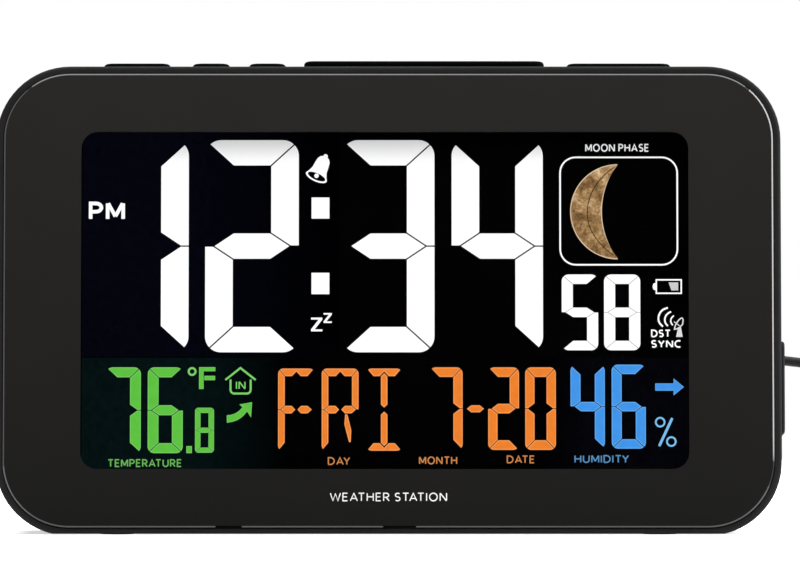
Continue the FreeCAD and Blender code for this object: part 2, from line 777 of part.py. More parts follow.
def make_dc_jack():
    half_wide = JACK_BODY[0] / 2
    half_tall = JACK_BODY[1] / 2
    x = (JACK_X - half_wide, JACK_X + half_wide)
    body_back = DEPTH - BACK_WALL - JACK_PAD_THICK - 0.1
    body = block(x, (JACK_FRONT, body_back), (JACK_Z - half_tall, JACK_Z + half_tall))
    nose = rod(JACK_NOSE, (JACK_X, body_back - 1, JACK_Z), (JACK_X, DEPTH - 0.2, JACK_Z))
    well = rod(JACK_HOLE, (JACK_X, JACK_FRONT + 2, JACK_Z), (JACK_X, DEPTH + 1, JACK_Z))
    pin = rod(JACK_PIN, (JACK_X, JACK_FRONT + 1, JACK_Z), (JACK_X, DEPTH - 2, JACK_Z))
    return join([body, nose]).cut(well).fuse(pin)


def plug_direction():
    """Which way the plug's arm points, in the face frame."""
    droop = math.radians(PLUG_DROOP)
    return Vec(math.cos(droop), 0, -math.sin(droop))


def plug_axis():
    """The middle of the arm's root, on the barrel's axis."""
    return Vec(JACK_X, DEPTH + PLUG_GAP + PLUG_TALL / 2, JACK_Z)


def make_dc_plug():
    start = DEPTH + PLUG_GAP
    drum = rod(PLUG_BODY, (JACK_X, start, JACK_Z), (JACK_X, start + PLUG_TALL, JACK_Z))
    drum = drum.makeFillet(1.2, edges_at(drum, Vec(0, 1, 0), start + PLUG_TALL))
    arm = Part.makeCylinder(PLUG_ARM, RELIEF_START + 1.5, plug_axis(), plug_direction())
    return join([drum, arm])


def relief_radius(distance):
    """The sleeve's radius at a distance from its wide end."""
    wide = PLUG_ARM - 0.3
    narrow = LEAD_RADIUS + 0.35
    return wide + (narrow - wide) * distance / RELIEF_LONG


def make_plug_relief():
    """The tapered, ribbed sleeve where the lead leaves the plug."""
    heading = plug_direction()
    start = plug_axis() + heading * (RELIEF_START + 1.5)
    sleeve = Part.makeCone(relief_radius(0), relief_radius(RELIEF_LONG), RELIEF_LONG, start, heading)
    for i in range(RELIEF_RIBS):
        along = RIB_FIRST + RIB_PITCH * i
        ring = Part.makeCylinder(PLUG_ARM, RIB_WIDTH, start + heading * along, heading)
        core_radius = relief_radius(along) - RIB_DEEP
        core = Part.makeCylinder(core_radius, RIB_WIDTH, start + heading * along, heading)
        sleeve = sleeve.cut(ring.cut(core))
    return sleeve


def make_plug_barrel():
    start = (JACK_X, JACK_FRONT + 3.2, JACK_Z)
    sleeve = rod(PLUG_BARREL, start, (JACK_X, DEPTH + PLUG_GAP, JACK_Z))
    return sleeve.cut(rod(PLUG_BORE, (JACK_X, 0, JACK_Z), (JACK_X, DEPTH - 1.4, JACK_Z)))


# Inside pieces


def aerial_bar(radius, x):
    """A round bar on the aerial's axis."""
    y, z = AERIAL_PLACE
    return rod(radius, (x[0], y, z), (x[1], y, z))


def make_ferrite_rod():
    return aerial_bar(AERIAL_RADIUS, AERIAL_X)


def make_antenna_coil():
    return aerial_bar(WINDING_RADIUS, WINDING_X).cut(aerial_bar(AERIAL_RADIUS + 0.05, AERIAL_X))


def make_receiver_board():
    return join([block(*RECEIVER), block(*RECEIVER_CHIP)])


def make_buzzer():
    back = DEPTH - BACK_WALL - 0.3
    drum = rod(BUZZER_RADIUS, (BUZZER_X, back - BUZZER_DEEP, BUZZER_Z), (BUZZER_X, back, BUZZER_Z))
    return drum.cut(rod(1.2, (BUZZER_X, back - BUZZER_DEEP / 2, BUZZER_Z), (BUZZER_X, DEPTH, BUZZER_Z)))


def make_humidity_sensor():
    return join([block(*SENSOR), block(*SENSOR_CAN)])


# Leads and cord


def rounded_path(points, report=None):
    """Straight runs joined by tangent arcs that are as large as the runs allow."""
    points = [Vec(*p) for p in points]
    edges = []
    start = points[0]
    radii = []
    for before, corner, after in zip(points, points[1:], points[2:]):
        run_in = corner - before
        run_out = after - corner
        turn = run_in.getAngle(run_out)
        reach = 0.45 * min(run_in.Length, run_out.Length)
        radius = reach / math.tan(turn / 2)
        run_in.normalize()
        run_out.normalize()
        inward = run_out - run_in
        inward.normalize()
        near = corner - run_in * reach
        far = corner + run_out * reach
        middle = corner + inward * (radius / math.cos(turn / 2) - radius)
        edges.append(Part.LineSegment(start, near).toShape())
        edges.append(Part.Arc(near, middle, far).toShape())
        radii.append(round(radius, 1))
        start = far
    edges.append(Part.LineSegment(start, points[-1]).toShape())
    if report:
        print(report, "arc radii in mm:", radii)
    return Part.Wire(edges)


def tube(points, radius, report=None):
    """A round lead along a rounded path."""
    path = rounded_path(points, report)
    first = Vec(*points[0])
    heading = Vec(*points[1]) - first
    section = Part.Wire(Part.makeCircle(radius, first, heading))
    solid = path.makePipeShell([section], True, False)
    if report:
        expected = math.pi * radius**2 * path.Length
        print(report, "length", round(path.Length, 1), "volume ratio", round(solid.Volume / expected, 4))
    return solid


def make_battery_leads():
    leads = []
    for x, z in ((-20.0, 57.6), (-50.0, 58.4)):
        back = BOARD_FRONT + BOARD_THICK
        points = [(x, 24.0, z), (x + 1, 24.2, z + 5), (x + 4, 20.0, z + 7.5), (x + 6, back + 0.4, z + 7)]
        leads.append(tube(points, 0.6))
    return group(leads)


def make_coil():
    """The wound turns as one ring."""
    inner = COIL_COLUMNS[0] - LEAD_RADIUS
    outer = COIL_COLUMNS[-1] + LEAD_RADIUS
    tall = 2 * LEAD_RADIUS * COIL_LAYERS
    middle = Vec(COIL_X, COIL_Y, 0)
    return Part.makeCylinder(outer, tall, middle).cut(Part.makeCylinder(inner, tall, middle))


def make_cord_tie():
    """A flat strap round one side of the wound turns, a little clear of them."""
    outer = COIL_COLUMNS[-1] + LEAD_RADIUS
    inner = COIL_COLUMNS[0] - LEAD_RADIUS
    tall = 2 * LEAD_RADIUS * COIL_LAYERS
    x = (COIL_X - 3.0, COIL_X + 3.0)
    strap = block(x, (COIL_Y + inner - 1.2, COIL_Y + outer + 0.8), (0, tall + 0.9))
    hole = block((x[0] - 1, x[1] + 1), (COIL_Y + inner - 0.45, COIL_Y + outer + 0.05), (-1, tall + 0.05))
    return strap.cut(hole)


def make_power_adapter():
    body = block(ADAPTER_X, ADAPTER_Y, (0, ADAPTER_TALL))
    body = body.makeFillet(ADAPTER_EDGE, body.Edges)
    y, z = ADAPTER_LEAD
    start = TAIL_POINTS[-1][0]
    narrow, wide = ADAPTER_RELIEF
    long = ADAPTER_X[0] + 1 - start
    sleeve = Part.makeCone(narrow, wide, long, Vec(start, y, z), Vec(1, 0, 0))
    return join([body, sleeve])


def make_adapter_blades():
    long, thick, tall = BLADE
    middle_y = sum(ADAPTER_Y) / 2
    middle_z = ADAPTER_TALL / 2
    blades = []
    for side in (-1, 1):
        y = middle_y + side * BLADE_PITCH / 2
        x = (ADAPTER_X[1], ADAPTER_X[1] + long)
        blade = block(x, (y - thick / 2, y + thick / 2), (middle_z - tall / 2, middle_z + tall / 2))
        ends = edges_at(blade, Vec(1, 0, 0), x[1])
        blades.append(blade.makeFillet(0.6, ends))
    return group(blades)


def clock_parts():
    """The clock's own nodes, in the face frame."""
    low = HEIGHT / 2 - WINDOW[1] / 2
    parts = {
        "front_bezel": make_front_bezel(),
        "window_lens": make_window_lens(),
        "front_polariser": layer(FRONT_POLARISER, 0.8, 0.0, GLASS_LEDGE),
        "lcd_front_glass": layer(FRONT_GLASS, 0.0),
        "lcd_rear_glass": layer(REAR_GLASS, 0.0, 0.0, GLASS_LEDGE),
        "rear_polariser": layer(REAR_POLARISER, 0.8, 0.0, GLASS_LEDGE),
        "film_green": film_zone((-74.0, -32.0), (low, DISPLAY_SPLIT - 0.2)),
        "film_orange": film_zone((-31.8, 41.6), (low, DISPLAY_SPLIT - 0.2)),
        "film_blue": film_zone((41.8, 72.5), (low, DISPLAY_SPLIT - 0.2)),
        "moon_film": film_zone((41.6, 70.6), (65.4, 92.0)),
        "diffuser_film": layer(DIFFUSER, 0.8, 1.2, GLASS_LEDGE),
        "light_guide": layer(LIGHT_GUIDE, 0.8, 1.2, GLASS_LEDGE),
        "reflector_film": layer(REFLECTOR, 0.8, 1.2, GLASS_LEDGE),
        "backlight_frame": make_backlight_frame(),
        "led_strip": make_led_strip(),
        "main_board": make_main_board(),
        "controller_chip": make_controller_chip(),
        "crystal_can": make_crystal_can(),
        "capacitors": make_capacitors(),
        "board_screws": group([make_board_screws(), make_key_board_screws()]),
        "key_board": make_key_board(),
        "switch_bodies": make_switch_bodies(),
        "rear_housing": make_rear_housing(),
        "rating_label": make_rating_label(),
        "housing_screws": make_housing_screws(),
        "battery_door": make_battery_door(),
        "battery_upper": make_cell(CELL_Z[1], -1),
        "battery_lower": make_cell(CELL_Z[0], 1),
        "battery_contacts": make_contacts(),
        "battery_springs": group([make_spring(CELL_Z[0], 1), make_spring(CELL_Z[1], -1)]),
        "port_surround": make_port_surround(),
        "usb_shell": make_usb_shell(),
        "usb_tongue": make_usb_tongue(),
        "dc_jack": make_dc_jack(),
        "dc_plug": make_dc_plug(),
        "plug_relief": make_plug_relief(),
        "plug_barrel": make_plug_barrel(),
        "ferrite_rod": make_ferrite_rod(),
        "antenna_coil": make_antenna_coil(),
        "receiver_board": make_receiver_board(),
        "buzzer": make_buzzer(),
        "humidity_sensor": make_humidity_sensor(),
        "battery_leads": make_battery_leads(),
    }
    for name, left, right, proud, deep in BUTTONS:
        parts[name] = make_button(left, right, proud, deep)
        parts[name + "_stem"] = make_stems(name)
    return {name: in_row_frame(shape) for name, shape in parts.items()}


def lead_parts():
    """What stands on the table beside the clock, in the row frame."""
    return {
        "rubber_feet": make_rubber_feet(),
        "power_cord": tube(CORD_POINTS, LEAD_RADIUS, "power_cord"),
        "power_cord_coil": make_coil(),
        "power_cord_tail": tube(TAIL_POINTS, LEAD_RADIUS, "power_cord_tail"),
        "cord_tie": make_cord_tie(),
        "power_adapter": make_power_adapter(),
        "adapter_blades": make_adapter_blades(),
    }


def main():
    os.makedirs("parts", exist_ok=True)
    parts = clock_parts()
    parts.update(lead_parts())
    for name, shape in parts.items():
        shape.exportStep("parts/" + name + ".step")
    print(len(parts), "nodes written")


main()
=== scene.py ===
import json
import math

import bpy
from mathutils import Matrix, Vector


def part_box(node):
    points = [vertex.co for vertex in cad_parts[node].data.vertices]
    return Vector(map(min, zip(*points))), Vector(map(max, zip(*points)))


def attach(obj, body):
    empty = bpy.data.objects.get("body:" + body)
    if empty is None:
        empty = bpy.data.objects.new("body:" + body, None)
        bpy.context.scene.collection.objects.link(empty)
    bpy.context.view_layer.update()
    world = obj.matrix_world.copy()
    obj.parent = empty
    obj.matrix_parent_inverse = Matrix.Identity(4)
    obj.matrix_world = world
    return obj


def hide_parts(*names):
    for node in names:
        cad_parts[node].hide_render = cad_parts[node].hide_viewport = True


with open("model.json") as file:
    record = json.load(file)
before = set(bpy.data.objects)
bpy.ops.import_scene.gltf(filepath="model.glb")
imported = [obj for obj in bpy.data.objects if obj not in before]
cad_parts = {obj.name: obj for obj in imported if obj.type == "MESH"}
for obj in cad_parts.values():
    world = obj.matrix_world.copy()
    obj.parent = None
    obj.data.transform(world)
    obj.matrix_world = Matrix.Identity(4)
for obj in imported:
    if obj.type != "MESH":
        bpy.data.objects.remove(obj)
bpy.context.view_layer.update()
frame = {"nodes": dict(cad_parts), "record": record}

SCENE = bpy.context.scene
SCENE.view_settings.view_transform = "Standard"

# ---------------------------------------------------------------------------
# The face frame: millimetres, X right, Y into the clock, Z up its face
# ---------------------------------------------------------------------------

MM = 0.001
LEAN = math.radians(5.0)
WIDTH = 191.3
HEIGHT = 114.65
CORNER = 18.0
RIM = 1.95
WINDOW_X = -0.9
LENS_MIDDLE = Vector((WINDOW_X, 2.2, HEIGHT / 2))
DISPLAY_STRETCH = (1.0018, 1.0, 1.0056)
DISPLAY_LIFT = 0.21


def face_matrix():
    """Takes face-frame millimetres to the row frame, from where the lens is."""
    low, high = (Vector(corner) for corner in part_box("window_lens"))
    turn = Matrix.Rotation(-LEAN, 4, "X") @ Matrix.Scale(MM, 4)
    offset = (low + high) / 2 - turn @ LENS_MIDDLE
    return Matrix.Translation(offset) @ turn


FACE = face_matrix()
DISPLAY = FACE @ Matrix.Translation((0, 0, DISPLAY_LIFT)) @ Matrix.Diagonal((*DISPLAY_STRETCH, 1.0))


def to_row(x, y, z):
    return FACE @ Vector((x, y, z))


# ---------------------------------------------------------------------------
# Materials
# ---------------------------------------------------------------------------


def new_material(name):
    """An empty node material and its Principled shader."""
    material = bpy.data.materials.new(name)
    material.use_nodes = True
    return material, material.node_tree.nodes["Principled BSDF"]


def link(material, source, target):
    material.node_tree.links.new(source, target)


def object_point(material):
    """Object coordinates in metres."""
    return material.node_tree.nodes.new("ShaderNodeTexCoord").outputs["Object"]


def along(material, axis, start, end):
    """A level from 0 to 1 between two places in metres along an object axis."""
    split = material.node_tree.nodes.new("ShaderNodeSeparateXYZ")
    link(material, object_point(material), split.inputs["Vector"])
    level = material.node_tree.nodes.new("ShaderNodeMapRange")
    level.inputs["From Min"].default_value = start
    level.inputs["From Max"].default_value = end
    link(material, split.outputs[axis], level.inputs["Value"])
    return level.outputs["Result"]


def scale_colour(material, socket, level):
    """Multiplies what feeds one of the shader's colours by a level."""
    target = material.node_tree.nodes["Principled BSDF"].inputs[socket]
    scale = material.node_tree.nodes.new("ShaderNodeVectorMath")
    scale.operation = "SCALE"
    link(material, target.links[0].from_socket, scale.inputs["Vector"])
    link(material, level, scale.inputs["Scale"])
    link(material, scale.outputs["Vector"], target)


def noise(material, size_mm, detail=3.0, roughness=0.5):
    """Noise whose grains are about size_mm across."""
    texture = material.node_tree.nodes.new("ShaderNodeTexNoise")
    texture.inputs["Scale"].default_value = 1.0 / (size_mm * MM)
    texture.inputs["Detail"].default_value = detail
    texture.inputs["Roughness"].default_value = roughness
    link(material, object_point(material), texture.inputs["Vector"])
    return texture.outputs["Fac"]


def ramp(material, factor, stops):
    """A colour ramp; stops are (position, colour) pairs."""
    node = material.node_tree.nodes.new("ShaderNodeValToRGB")
    elements = node.color_ramp.elements
    while len(elements) < len(stops):
        elements.new(0.5)
    for element, (place, colour) in zip(elements, stops):
        element.position = place
        element.color = (*colour, 1.0)
    link(material, factor, node.inputs["Fac"])
    return node.outputs["Color"]


def map_range(material, value, low, high):
    """A value from 0 to 1 taken to a new range."""
    node = material.node_tree.nodes.new("ShaderNodeMapRange")
    node.inputs["To Min"].default_value = low
    node.inputs["To Max"].default_value = high
    link(material, value, node.inputs["Value"])
    return node.outputs["Result"]


def bump(material, shader, height, strength, distance_mm):
    node = material.node_tree.nodes.new("ShaderNodeBump")
    node.inputs["Strength"].default_value = strength
    node.inputs["Distance"].default_value = distance_mm * MM
    link(material, height, node.inputs["Height"])
    link(material, node.outputs["Normal"], shader.inputs["Normal"])


def shade(colour, factor):
    return tuple(min(1.0, c * factor) for c in colour)


def moulded(name, colour, roughness, grain_mm, grain_depth, specular=0.5, variation=0.12):
    """Moulded plastic or rubber: fine spark grain, cloudy tone and gloss."""
    material, shader = new_material(name)
    cloud = noise(material, 14.0, 2.0)
    stops = [(0.3, shade(colour, 1 - variation)), (0.7, shade(colour, 1 + variation))]
    link(material, ramp(material, cloud, stops), shader.inputs["Base Color"])
    smear = noise(material, 6.0, 4.0)
    gloss = map_range(material, smear, roughness - 0.05, roughness + 0.05)
    link(material, gloss, shader.inputs["Roughness"])
    shader.inputs["Specular IOR Level"].default_value = specular
    bump(material, shader, noise(material, grain_mm, 2.0), 0.5, grain_depth)
    return material


def fading(material, foot, top):
    """A moulded material painted darker from the clock's top to its foot: painted shade for the light
    falling off down the face.
    """
    height = along(material, "Z", 0.0, HEIGHT * MM)
    scale_colour(material, "Base Color", map_range(material, height, foot, top))
    return material


def metal(name, colour, roughness, grain_mm=0.4):
    """Plated or drawn metal with faint scuffs."""
    material, shader = new_material(name)
    tone = noise(material, 3.0, 4.0)
    stops = [(0.25, shade(colour, 0.82)), (0.75, colour)]
    link(material, ramp(material, tone, stops), shader.inputs["Base Color"])
    shader.inputs["Metallic"].default_value = 1.0
    gloss = map_range(material, noise(material, grain_mm, 5.0), roughness * 0.6, roughness * 1.4)
    link(material, gloss, shader.inputs["Roughness"])
    bump(material, shader, noise(material, grain_mm, 3.0), 0.2, 0.01)
    return material


def clear(name, tint, alpha, roughness, specular=0.5):
    """A clear sheet that shows what is behind it unbent."""
    material, shader = new_material(name)
    shader.inputs["Base Color"].default_value = (*tint, 1.0)
    shader.inputs["Alpha"].default_value = alpha
    shader.inputs["Specular IOR Level"].default_value = specular
    wipe = noise(material, 22.0, 3.0)
    link(material, map_range(material, wipe, roughness, roughness * 1.8), shader.inputs["Roughness"])
    return material


def film(name, base, roughness=0.6):
    """A material that hardly reflects, for what is lit from behind."""
    material, shader = new_material(name)
    shader.inputs["Base Color"].default_value = (*base, 1.0)
    shader.inputs["Roughness"].default_value = roughness
    shader.inputs["Specular IOR Level"].default_value = 0.0
    return material, shader


def lit(name, colour, mottle=0.04):
    """A lit patch of display: its own light, with a faint film mottle."""
    material, shader = film(name, shade(colour, 0.02))
    grain = noise(material, 1.6, 2.0)
    stops = [(0.3, shade(colour, 1 - mottle)), (0.7, shade(colour, 1 + mottle))]
    link(material, ramp(material, grain, stops), shader.inputs["Emission Color"])
    shader.inputs["Emission Strength"].default_value = 1.0
    return material


def lit_white_top_shadow(name):
    """Lit white film, painted a little greyer along the top row of the display: painted shadow of the
    bezel's top edge.
    """
    material, shader = film(name, (0.02, 0.02, 0.02))
    low, high = (to_row(0, 3, z).z for z in TOP_SHADOW_Z)
    stops = [(0.0, (1.0, 1.0, 1.0)), (0.45, (0.93, 0.93, 0.93)), (1.0, (0.6, 0.6, 0.61))]
    link(material, ramp(material, along(material, "Z", low, high), stops), shader.inputs["Emission Color"])
    shader.inputs["Emission Strength"].default_value = 1.06
    return material


def moon_rock(name):
    """The printed moon: tan and brown blotches under fine bright and dark grains."""
    material, shader = film(name, (0.01, 0.008, 0.005), 0.7)
    broad = [
        (0.30, (0.11, 0.055, 0.018)),
        (0.42, (0.22, 0.12, 0.045)),
        (0.52, (0.34, 0.20, 0.085)),
        (0.60, (0.46, 0.29, 0.14)),
        (0.72, (0.72, 0.52, 0.31)),
    ]
    fine = [(0.36, (0.5, 0.47, 0.42)), (0.5, (0.95, 0.93, 0.9)), (0.64, (1.45, 1.45, 1.4))]
    mix = material.node_tree.nodes.new("ShaderNodeMix")
    mix.data_type = "RGBA"
    mix.blend_type = "MULTIPLY"
    mix.clamp_result = False
    mix.inputs["Factor"].default_value = 1.0
    link(material, ramp(material, noise(material, 3.6, 4.0, 0.62), broad), mix.inputs[6])
    link(material, ramp(material, noise(material, 0.75, 5.0, 0.7), fine), mix.inputs[7])
    link(material, mix.outputs[2], shader.inputs["Emission Color"])
    shader.inputs["Emission Strength"].default_value = 1.0
    return material


def circuit_board(name):
    """Solder mask with a faint pattern of tracks under it."""
    material, shader = new_material(name)
    brick = material.node_tree.nodes.new("ShaderNodeTexBrick")
    brick.inputs["Scale"].default_value = 260.0
    brick.inputs["Color1"].default_value = (0.008, 0.10, 0.035, 1.0)
    brick.inputs["Color2"].default_value = (0.010, 0.13, 0.045, 1.0)
    brick.inputs["Mortar"].default_value = (0.03, 0.22, 0.09, 1.0)
    brick.inputs["Mortar Size"].default_value = 0.03
    link(material, object_point(material), brick.inputs["Vector"])
    link(material, brick.outputs["Color"], shader.inputs["Base Color"])
    link(material, map_range(material, noise(material, 5.0), 0.25, 0.4), shader.inputs["Roughness"])
    bump(material, shader, brick.outputs["Fac"], 0.3, 0.03)
    return material


# Heights between which the time's digits are painted greyer: painted shadow of the bezel's top edge
TOP_SHADOW_Z = (88.5, 96.2)
GREEN = (0.115, 0.54, 0.055)
GREEN_EDGE = (0.20, 0.62, 0.14)
GREEN_GAP = (0.018, 0.13, 0.02)
ORANGE = (0.87, 0.225, 0.028)
ORANGE_EDGE = (0.93, 0.36, 0.12)
ORANGE_GAP = (0.25, 0.05, 0.012)
BLUE = (0.055, 0.305, 0.83)
BLUE_EDGE = (0.14, 0.43, 0.87)
BLUE_GAP = (0.008, 0.055, 0.22)


def make_materials():
    black = (0.0083, 0.0075, 0.0067)
    return {
        # The bezel's colour is painted darker towards its foot: painted shade for the light falling off down
        # the face.
        "bezel_plastic": fading(moulded("bezel_plastic", black, 0.6, 0.16, 0.006, 0.1, 0.05), 0.28, 1.02),
        "housing_plastic": moulded("housing_plastic", (0.0085, 0.0085, 0.0088), 0.62, 0.35, 0.03, 0.07),
        "port_plastic": moulded("port_plastic", (0.0085, 0.0085, 0.0095), 0.6, 0.3, 0.02, 0.07),
        "button_plastic": moulded("button_plastic", (0.0008, 0.0008, 0.001), 0.7, 0.25, 0.015, 0.015),
        "stem_plastic": moulded("stem_plastic", (0.55, 0.55, 0.52), 0.45, 0.3, 0.01),
        "window_clear": clear("window_clear", (0.004, 0.004, 0.005), 0.02, 0.02, 0.07),
        "polariser_dark": moulded("polariser_dark", (0.0003, 0.0003, 0.0004), 0.6, 0.6, 0.002, 0.0, 0.3),
        "lcd_glass": clear("lcd_glass", (0.6, 0.68, 0.64), 0.25, 0.04),
        "film_green": lit("film_green", GREEN),
        "film_orange": lit("film_orange", ORANGE),
        "film_blue": lit("film_blue", BLUE),
        "moon_print": moon_rock("moon_print"),
        # White segments, with a painted shadow of the bezel's top edge along the top row
        "segment_white": lit_white_top_shadow("segment_white"),
        "light_guide_acrylic": clear("light_guide_acrylic", (0.82, 0.86, 0.88), 0.6, 0.08),
        "reflector_white": moulded("reflector_white", (0.85, 0.85, 0.85), 0.35, 0.8, 0.004),
        "frame_white": moulded("frame_white", (0.78, 0.78, 0.75), 0.5, 0.4, 0.02),
        "led_strip_white": moulded("led_strip_white", (0.75, 0.74, 0.62), 0.4, 0.5, 0.02),
        "board_green": circuit_board("board_green"),
        "chip_black": moulded("chip_black", (0.018, 0.018, 0.019), 0.5, 0.2, 0.01),
        "can_steel": metal("can_steel", (0.72, 0.72, 0.73), 0.3),
        "screw_steel": metal("screw_steel", (0.32, 0.32, 0.34), 0.35, 0.25),
        "label_paper": moulded("label_paper", (0.055, 0.055, 0.058), 0.5, 0.5, 0.006, 0.3),
        "cell_sleeve": moulded("cell_sleeve", (0.03, 0.075, 0.22), 0.25, 1.5, 0.02),
        "contact_nickel": metal("contact_nickel", (0.74, 0.72, 0.67), 0.22),
        "usb_steel": metal("usb_steel", (0.62, 0.62, 0.63), 0.28),
        "tongue_white": moulded("tongue_white", (0.7, 0.7, 0.7), 0.4, 0.3, 0.01),
        "ferrite_dark": moulded("ferrite_dark", (0.045, 0.045, 0.05), 0.7, 0.3, 0.05),
        "copper_wire": metal("copper_wire", (0.72, 0.30, 0.12), 0.3, 0.15),
        "lead_red": moulded("lead_red", (0.42, 0.02, 0.02), 0.35, 0.5, 0.01),
        "foot_rubber": moulded("foot_rubber", (0.018, 0.018, 0.018), 0.8, 0.3, 0.04, 0.3),
        "cord_rubber": moulded("cord_rubber", (0.014, 0.014, 0.0145), 0.55, 0.4, 0.01, 0.15),
        "tie_rubber": moulded("tie_rubber", (0.02, 0.02, 0.021), 0.6, 0.3, 0.03, 0.4),
        "adapter_plastic": moulded("adapter_plastic", (0.012, 0.012, 0.0125), 0.5, 0.4, 0.03, 0.5),
        "blade_brass": metal("blade_brass", (0.78, 0.74, 0.62), 0.25),
    }


MATERIALS = make_materials()
POLISHED = moulded("polished_edge", (0.010, 0.010, 0.010), 0.14, 0.8, 0.001, 0.5, 0.05)


def paint_cad_nodes():
    """Each CAD node gets the material of its slot in the record."""
    for entry in frame["record"]["subparts"]:
        piece = frame["nodes"][entry["node"]]
        piece.data.materials.clear()
        piece.data.materials.append(MATERIALS[entry["material_slot"]])


# ---------------------------------------------------------------------------
# Flat display artwork: outlines in (x, z) millimetres on the face
# ---------------------------------------------------------------------------

# Thickness of a piece of artwork, and the depths of its layers
INK = 0.02
CORE_Y = 3.06
EDGE_Y = 3.09
GAP_Y = 3.12
ZONE_Y = 3.15


def arc(cx, cz, radius, start, end, steps=8, flat=1.0):
    """Points of an arc, angles in degrees."""
    points = []
    for i in range(steps + 1):
        a = math.radians(start + (end - start) * i / steps)
        points.append((cx + radius * math.cos(a), cz + radius * flat * math.sin(a)))
    return points


def tidy_loop(points):
    """The loop anticlockwise, with no repeated points."""
    kept = []
    for p in points:
        if not kept or math.dist(p, kept[-1]) > 1e-4:
            kept.append(p)
    if math.dist(kept[0], kept[-1]) < 1e-4:
        kept.pop()
    area = sum(a[0] * b[1] - b[0] * a[1] for a, b in zip(kept, kept[1:] + kept[:1]))
    return kept if area > 0 else kept[::-1]


def inset(points, depth):
    """The loop drawn in by depth, each side moved along its own normal."""
    loop = tidy_loop(points)
    result = []
    for before, here, after in zip(loop[-1:] + loop[:-1], loop, loop[1:] + loop[:1]):
        a = Vector((here[0] - before[0], here[1] - before[1])).normalized()
        b = Vector((after[0] - here[0], after[1] - here[1])).normalized()
        inward_a = Vector((-a.y, a.x))
        inward_b = Vector((-b.y, b.x))
        middle = (inward_a + inward_b).normalized()
        reach = depth / max(0.3, middle.dot(inward_a))
        result.append((here[0] + middle.x * reach, here[1] + middle.y * reach))
    return result


def outline_mesh(name, loops, front):
    """A thin plate with these outlines; loops inside loops are holes."""
    curve = bpy.data.curves.new(name, "CURVE")
    curve.dimensions = "2D"
    curve.fill_mode = "BOTH"
    curve.extrude = INK / 2
    for loop in loops:
        spline = curve.splines.new("POLY")
        spline.points.add(len(loop) - 1)
        for point, (x, z) in zip(spline.points, loop):
            point.co = (x, z, 0, 1)
        spline.use_cyclic_u = True
    return settle(name, curve, front + INK / 2)


def settle(name, curve, depth):
    """Turns a flat curve into a mesh on the display, at a depth."""
    source = bpy.data.objects.new(name, curve)
    SCENE.collection.objects.link(source)
    bpy.context.view_layer.update()
    evaluated = source.evaluated_get(bpy.context.evaluated_depsgraph_get())
    mesh = bpy.data.meshes.new_from_object(evaluated)
    bpy.data.objects.remove(source)
    upright = Matrix(((1, 0, 0, 0), (0, 0, -1, depth), (0, 1, 0, 0), (0, 0, 0, 1)))
    mesh.transform(DISPLAY @ upright)
    mesh.name = name
    return mesh


def piece_from(name, mesh, slot, material=None, body="clock"):
    """Puts a finished mesh in the scene, riding on a body."""
    piece = bpy.data.objects.new(name, mesh)
    SCENE.collection.objects.link(piece)
    mesh.materials.clear()
    mesh.materials.append(material or MATERIALS[slot])
    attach(piece, body)
    return piece


def art(name, loops, slot, front=CORE_Y, material=None):
    """One display piece from several outlines that don't overlap."""
    return piece_from(name, outline_mesh(name, loops, front), slot, material)


def outlined_art(name, loops, slot, colours, edge):
    """A coloured shape with a paler edge."""
    art(name + "_edge", loops, slot, EDGE_Y, colours["edge"])
    art(name, [inset(loop, edge) for loop in loops], slot)


def boxed(x, z):
    """The loop of a box between two x and two z."""
    return [(x[0], z[0]), (x[1], z[0]), (x[1], z[1]), (x[0], z[1])]


def ring(cx, cz, radius, width, steps=28):
    """The two loops of a round ring."""
    outer = arc(cx, cz, radius, 0, 360, steps)[:-1]
    hole = arc(cx, cz, radius - width, 0, 360, steps)[:-1]
    return [outer, hole[::-1]]


def rounded_box(x, z, radius, steps=8):
    """The loop of a box with round corners, anticlockwise from the top right."""
    corners = [(x[1], z[1], 0), (x[0], z[1], 90), (x[0], z[0], 180), (x[1], z[0], 270)]
    points = []
    for cx, cz, start in corners:
        ax = cx - radius if cx == x[1] else cx + radius
        az = cz - radius if cz == z[1] else cz + radius
        points.extend(arc(ax, az, radius, start, start + 90, steps))
    return points


def stroke(points, width, sharpest=0.35):
    """A line of constant width along points, as one loop with square ends."""
    left, right = [], []
    for i, (x, z) in enumerate(points):
        before = points[max(i - 1, 0)]
        after = points[min(i + 1, len(points) - 1)]
        a = Vector((x - before[0], z - before[1]))
        b = Vector((after[0] - x, after[1] - z))
        a = a.normalized() if a.length else b.normalized()
        b = b.normalized() if b.length else a
        normal = Vector((-(a.y + b.y), a.x + b.x)).normalized()
        reach = width / 2 / max(sharpest, normal.dot(Vector((-a.y, a.x))))
        left.append((x + normal.x * reach, z + normal.y * reach))
        right.append((x - normal.x * reach, z - normal.y * reach))
    return left + right[::-1]


# ---------------------------------------------------------------------------
# Segment digits
# ---------------------------------------------------------------------------

DIGITS = {
    "0": "abcdef",
    "1": "bc",
    "2": "abged",
    "3": "abgcd",
    "4": "fgbc",
    "5": "afgcd",
    "6": "afgedc",
    "7": "abc",
    "8": "abcdefg",
}


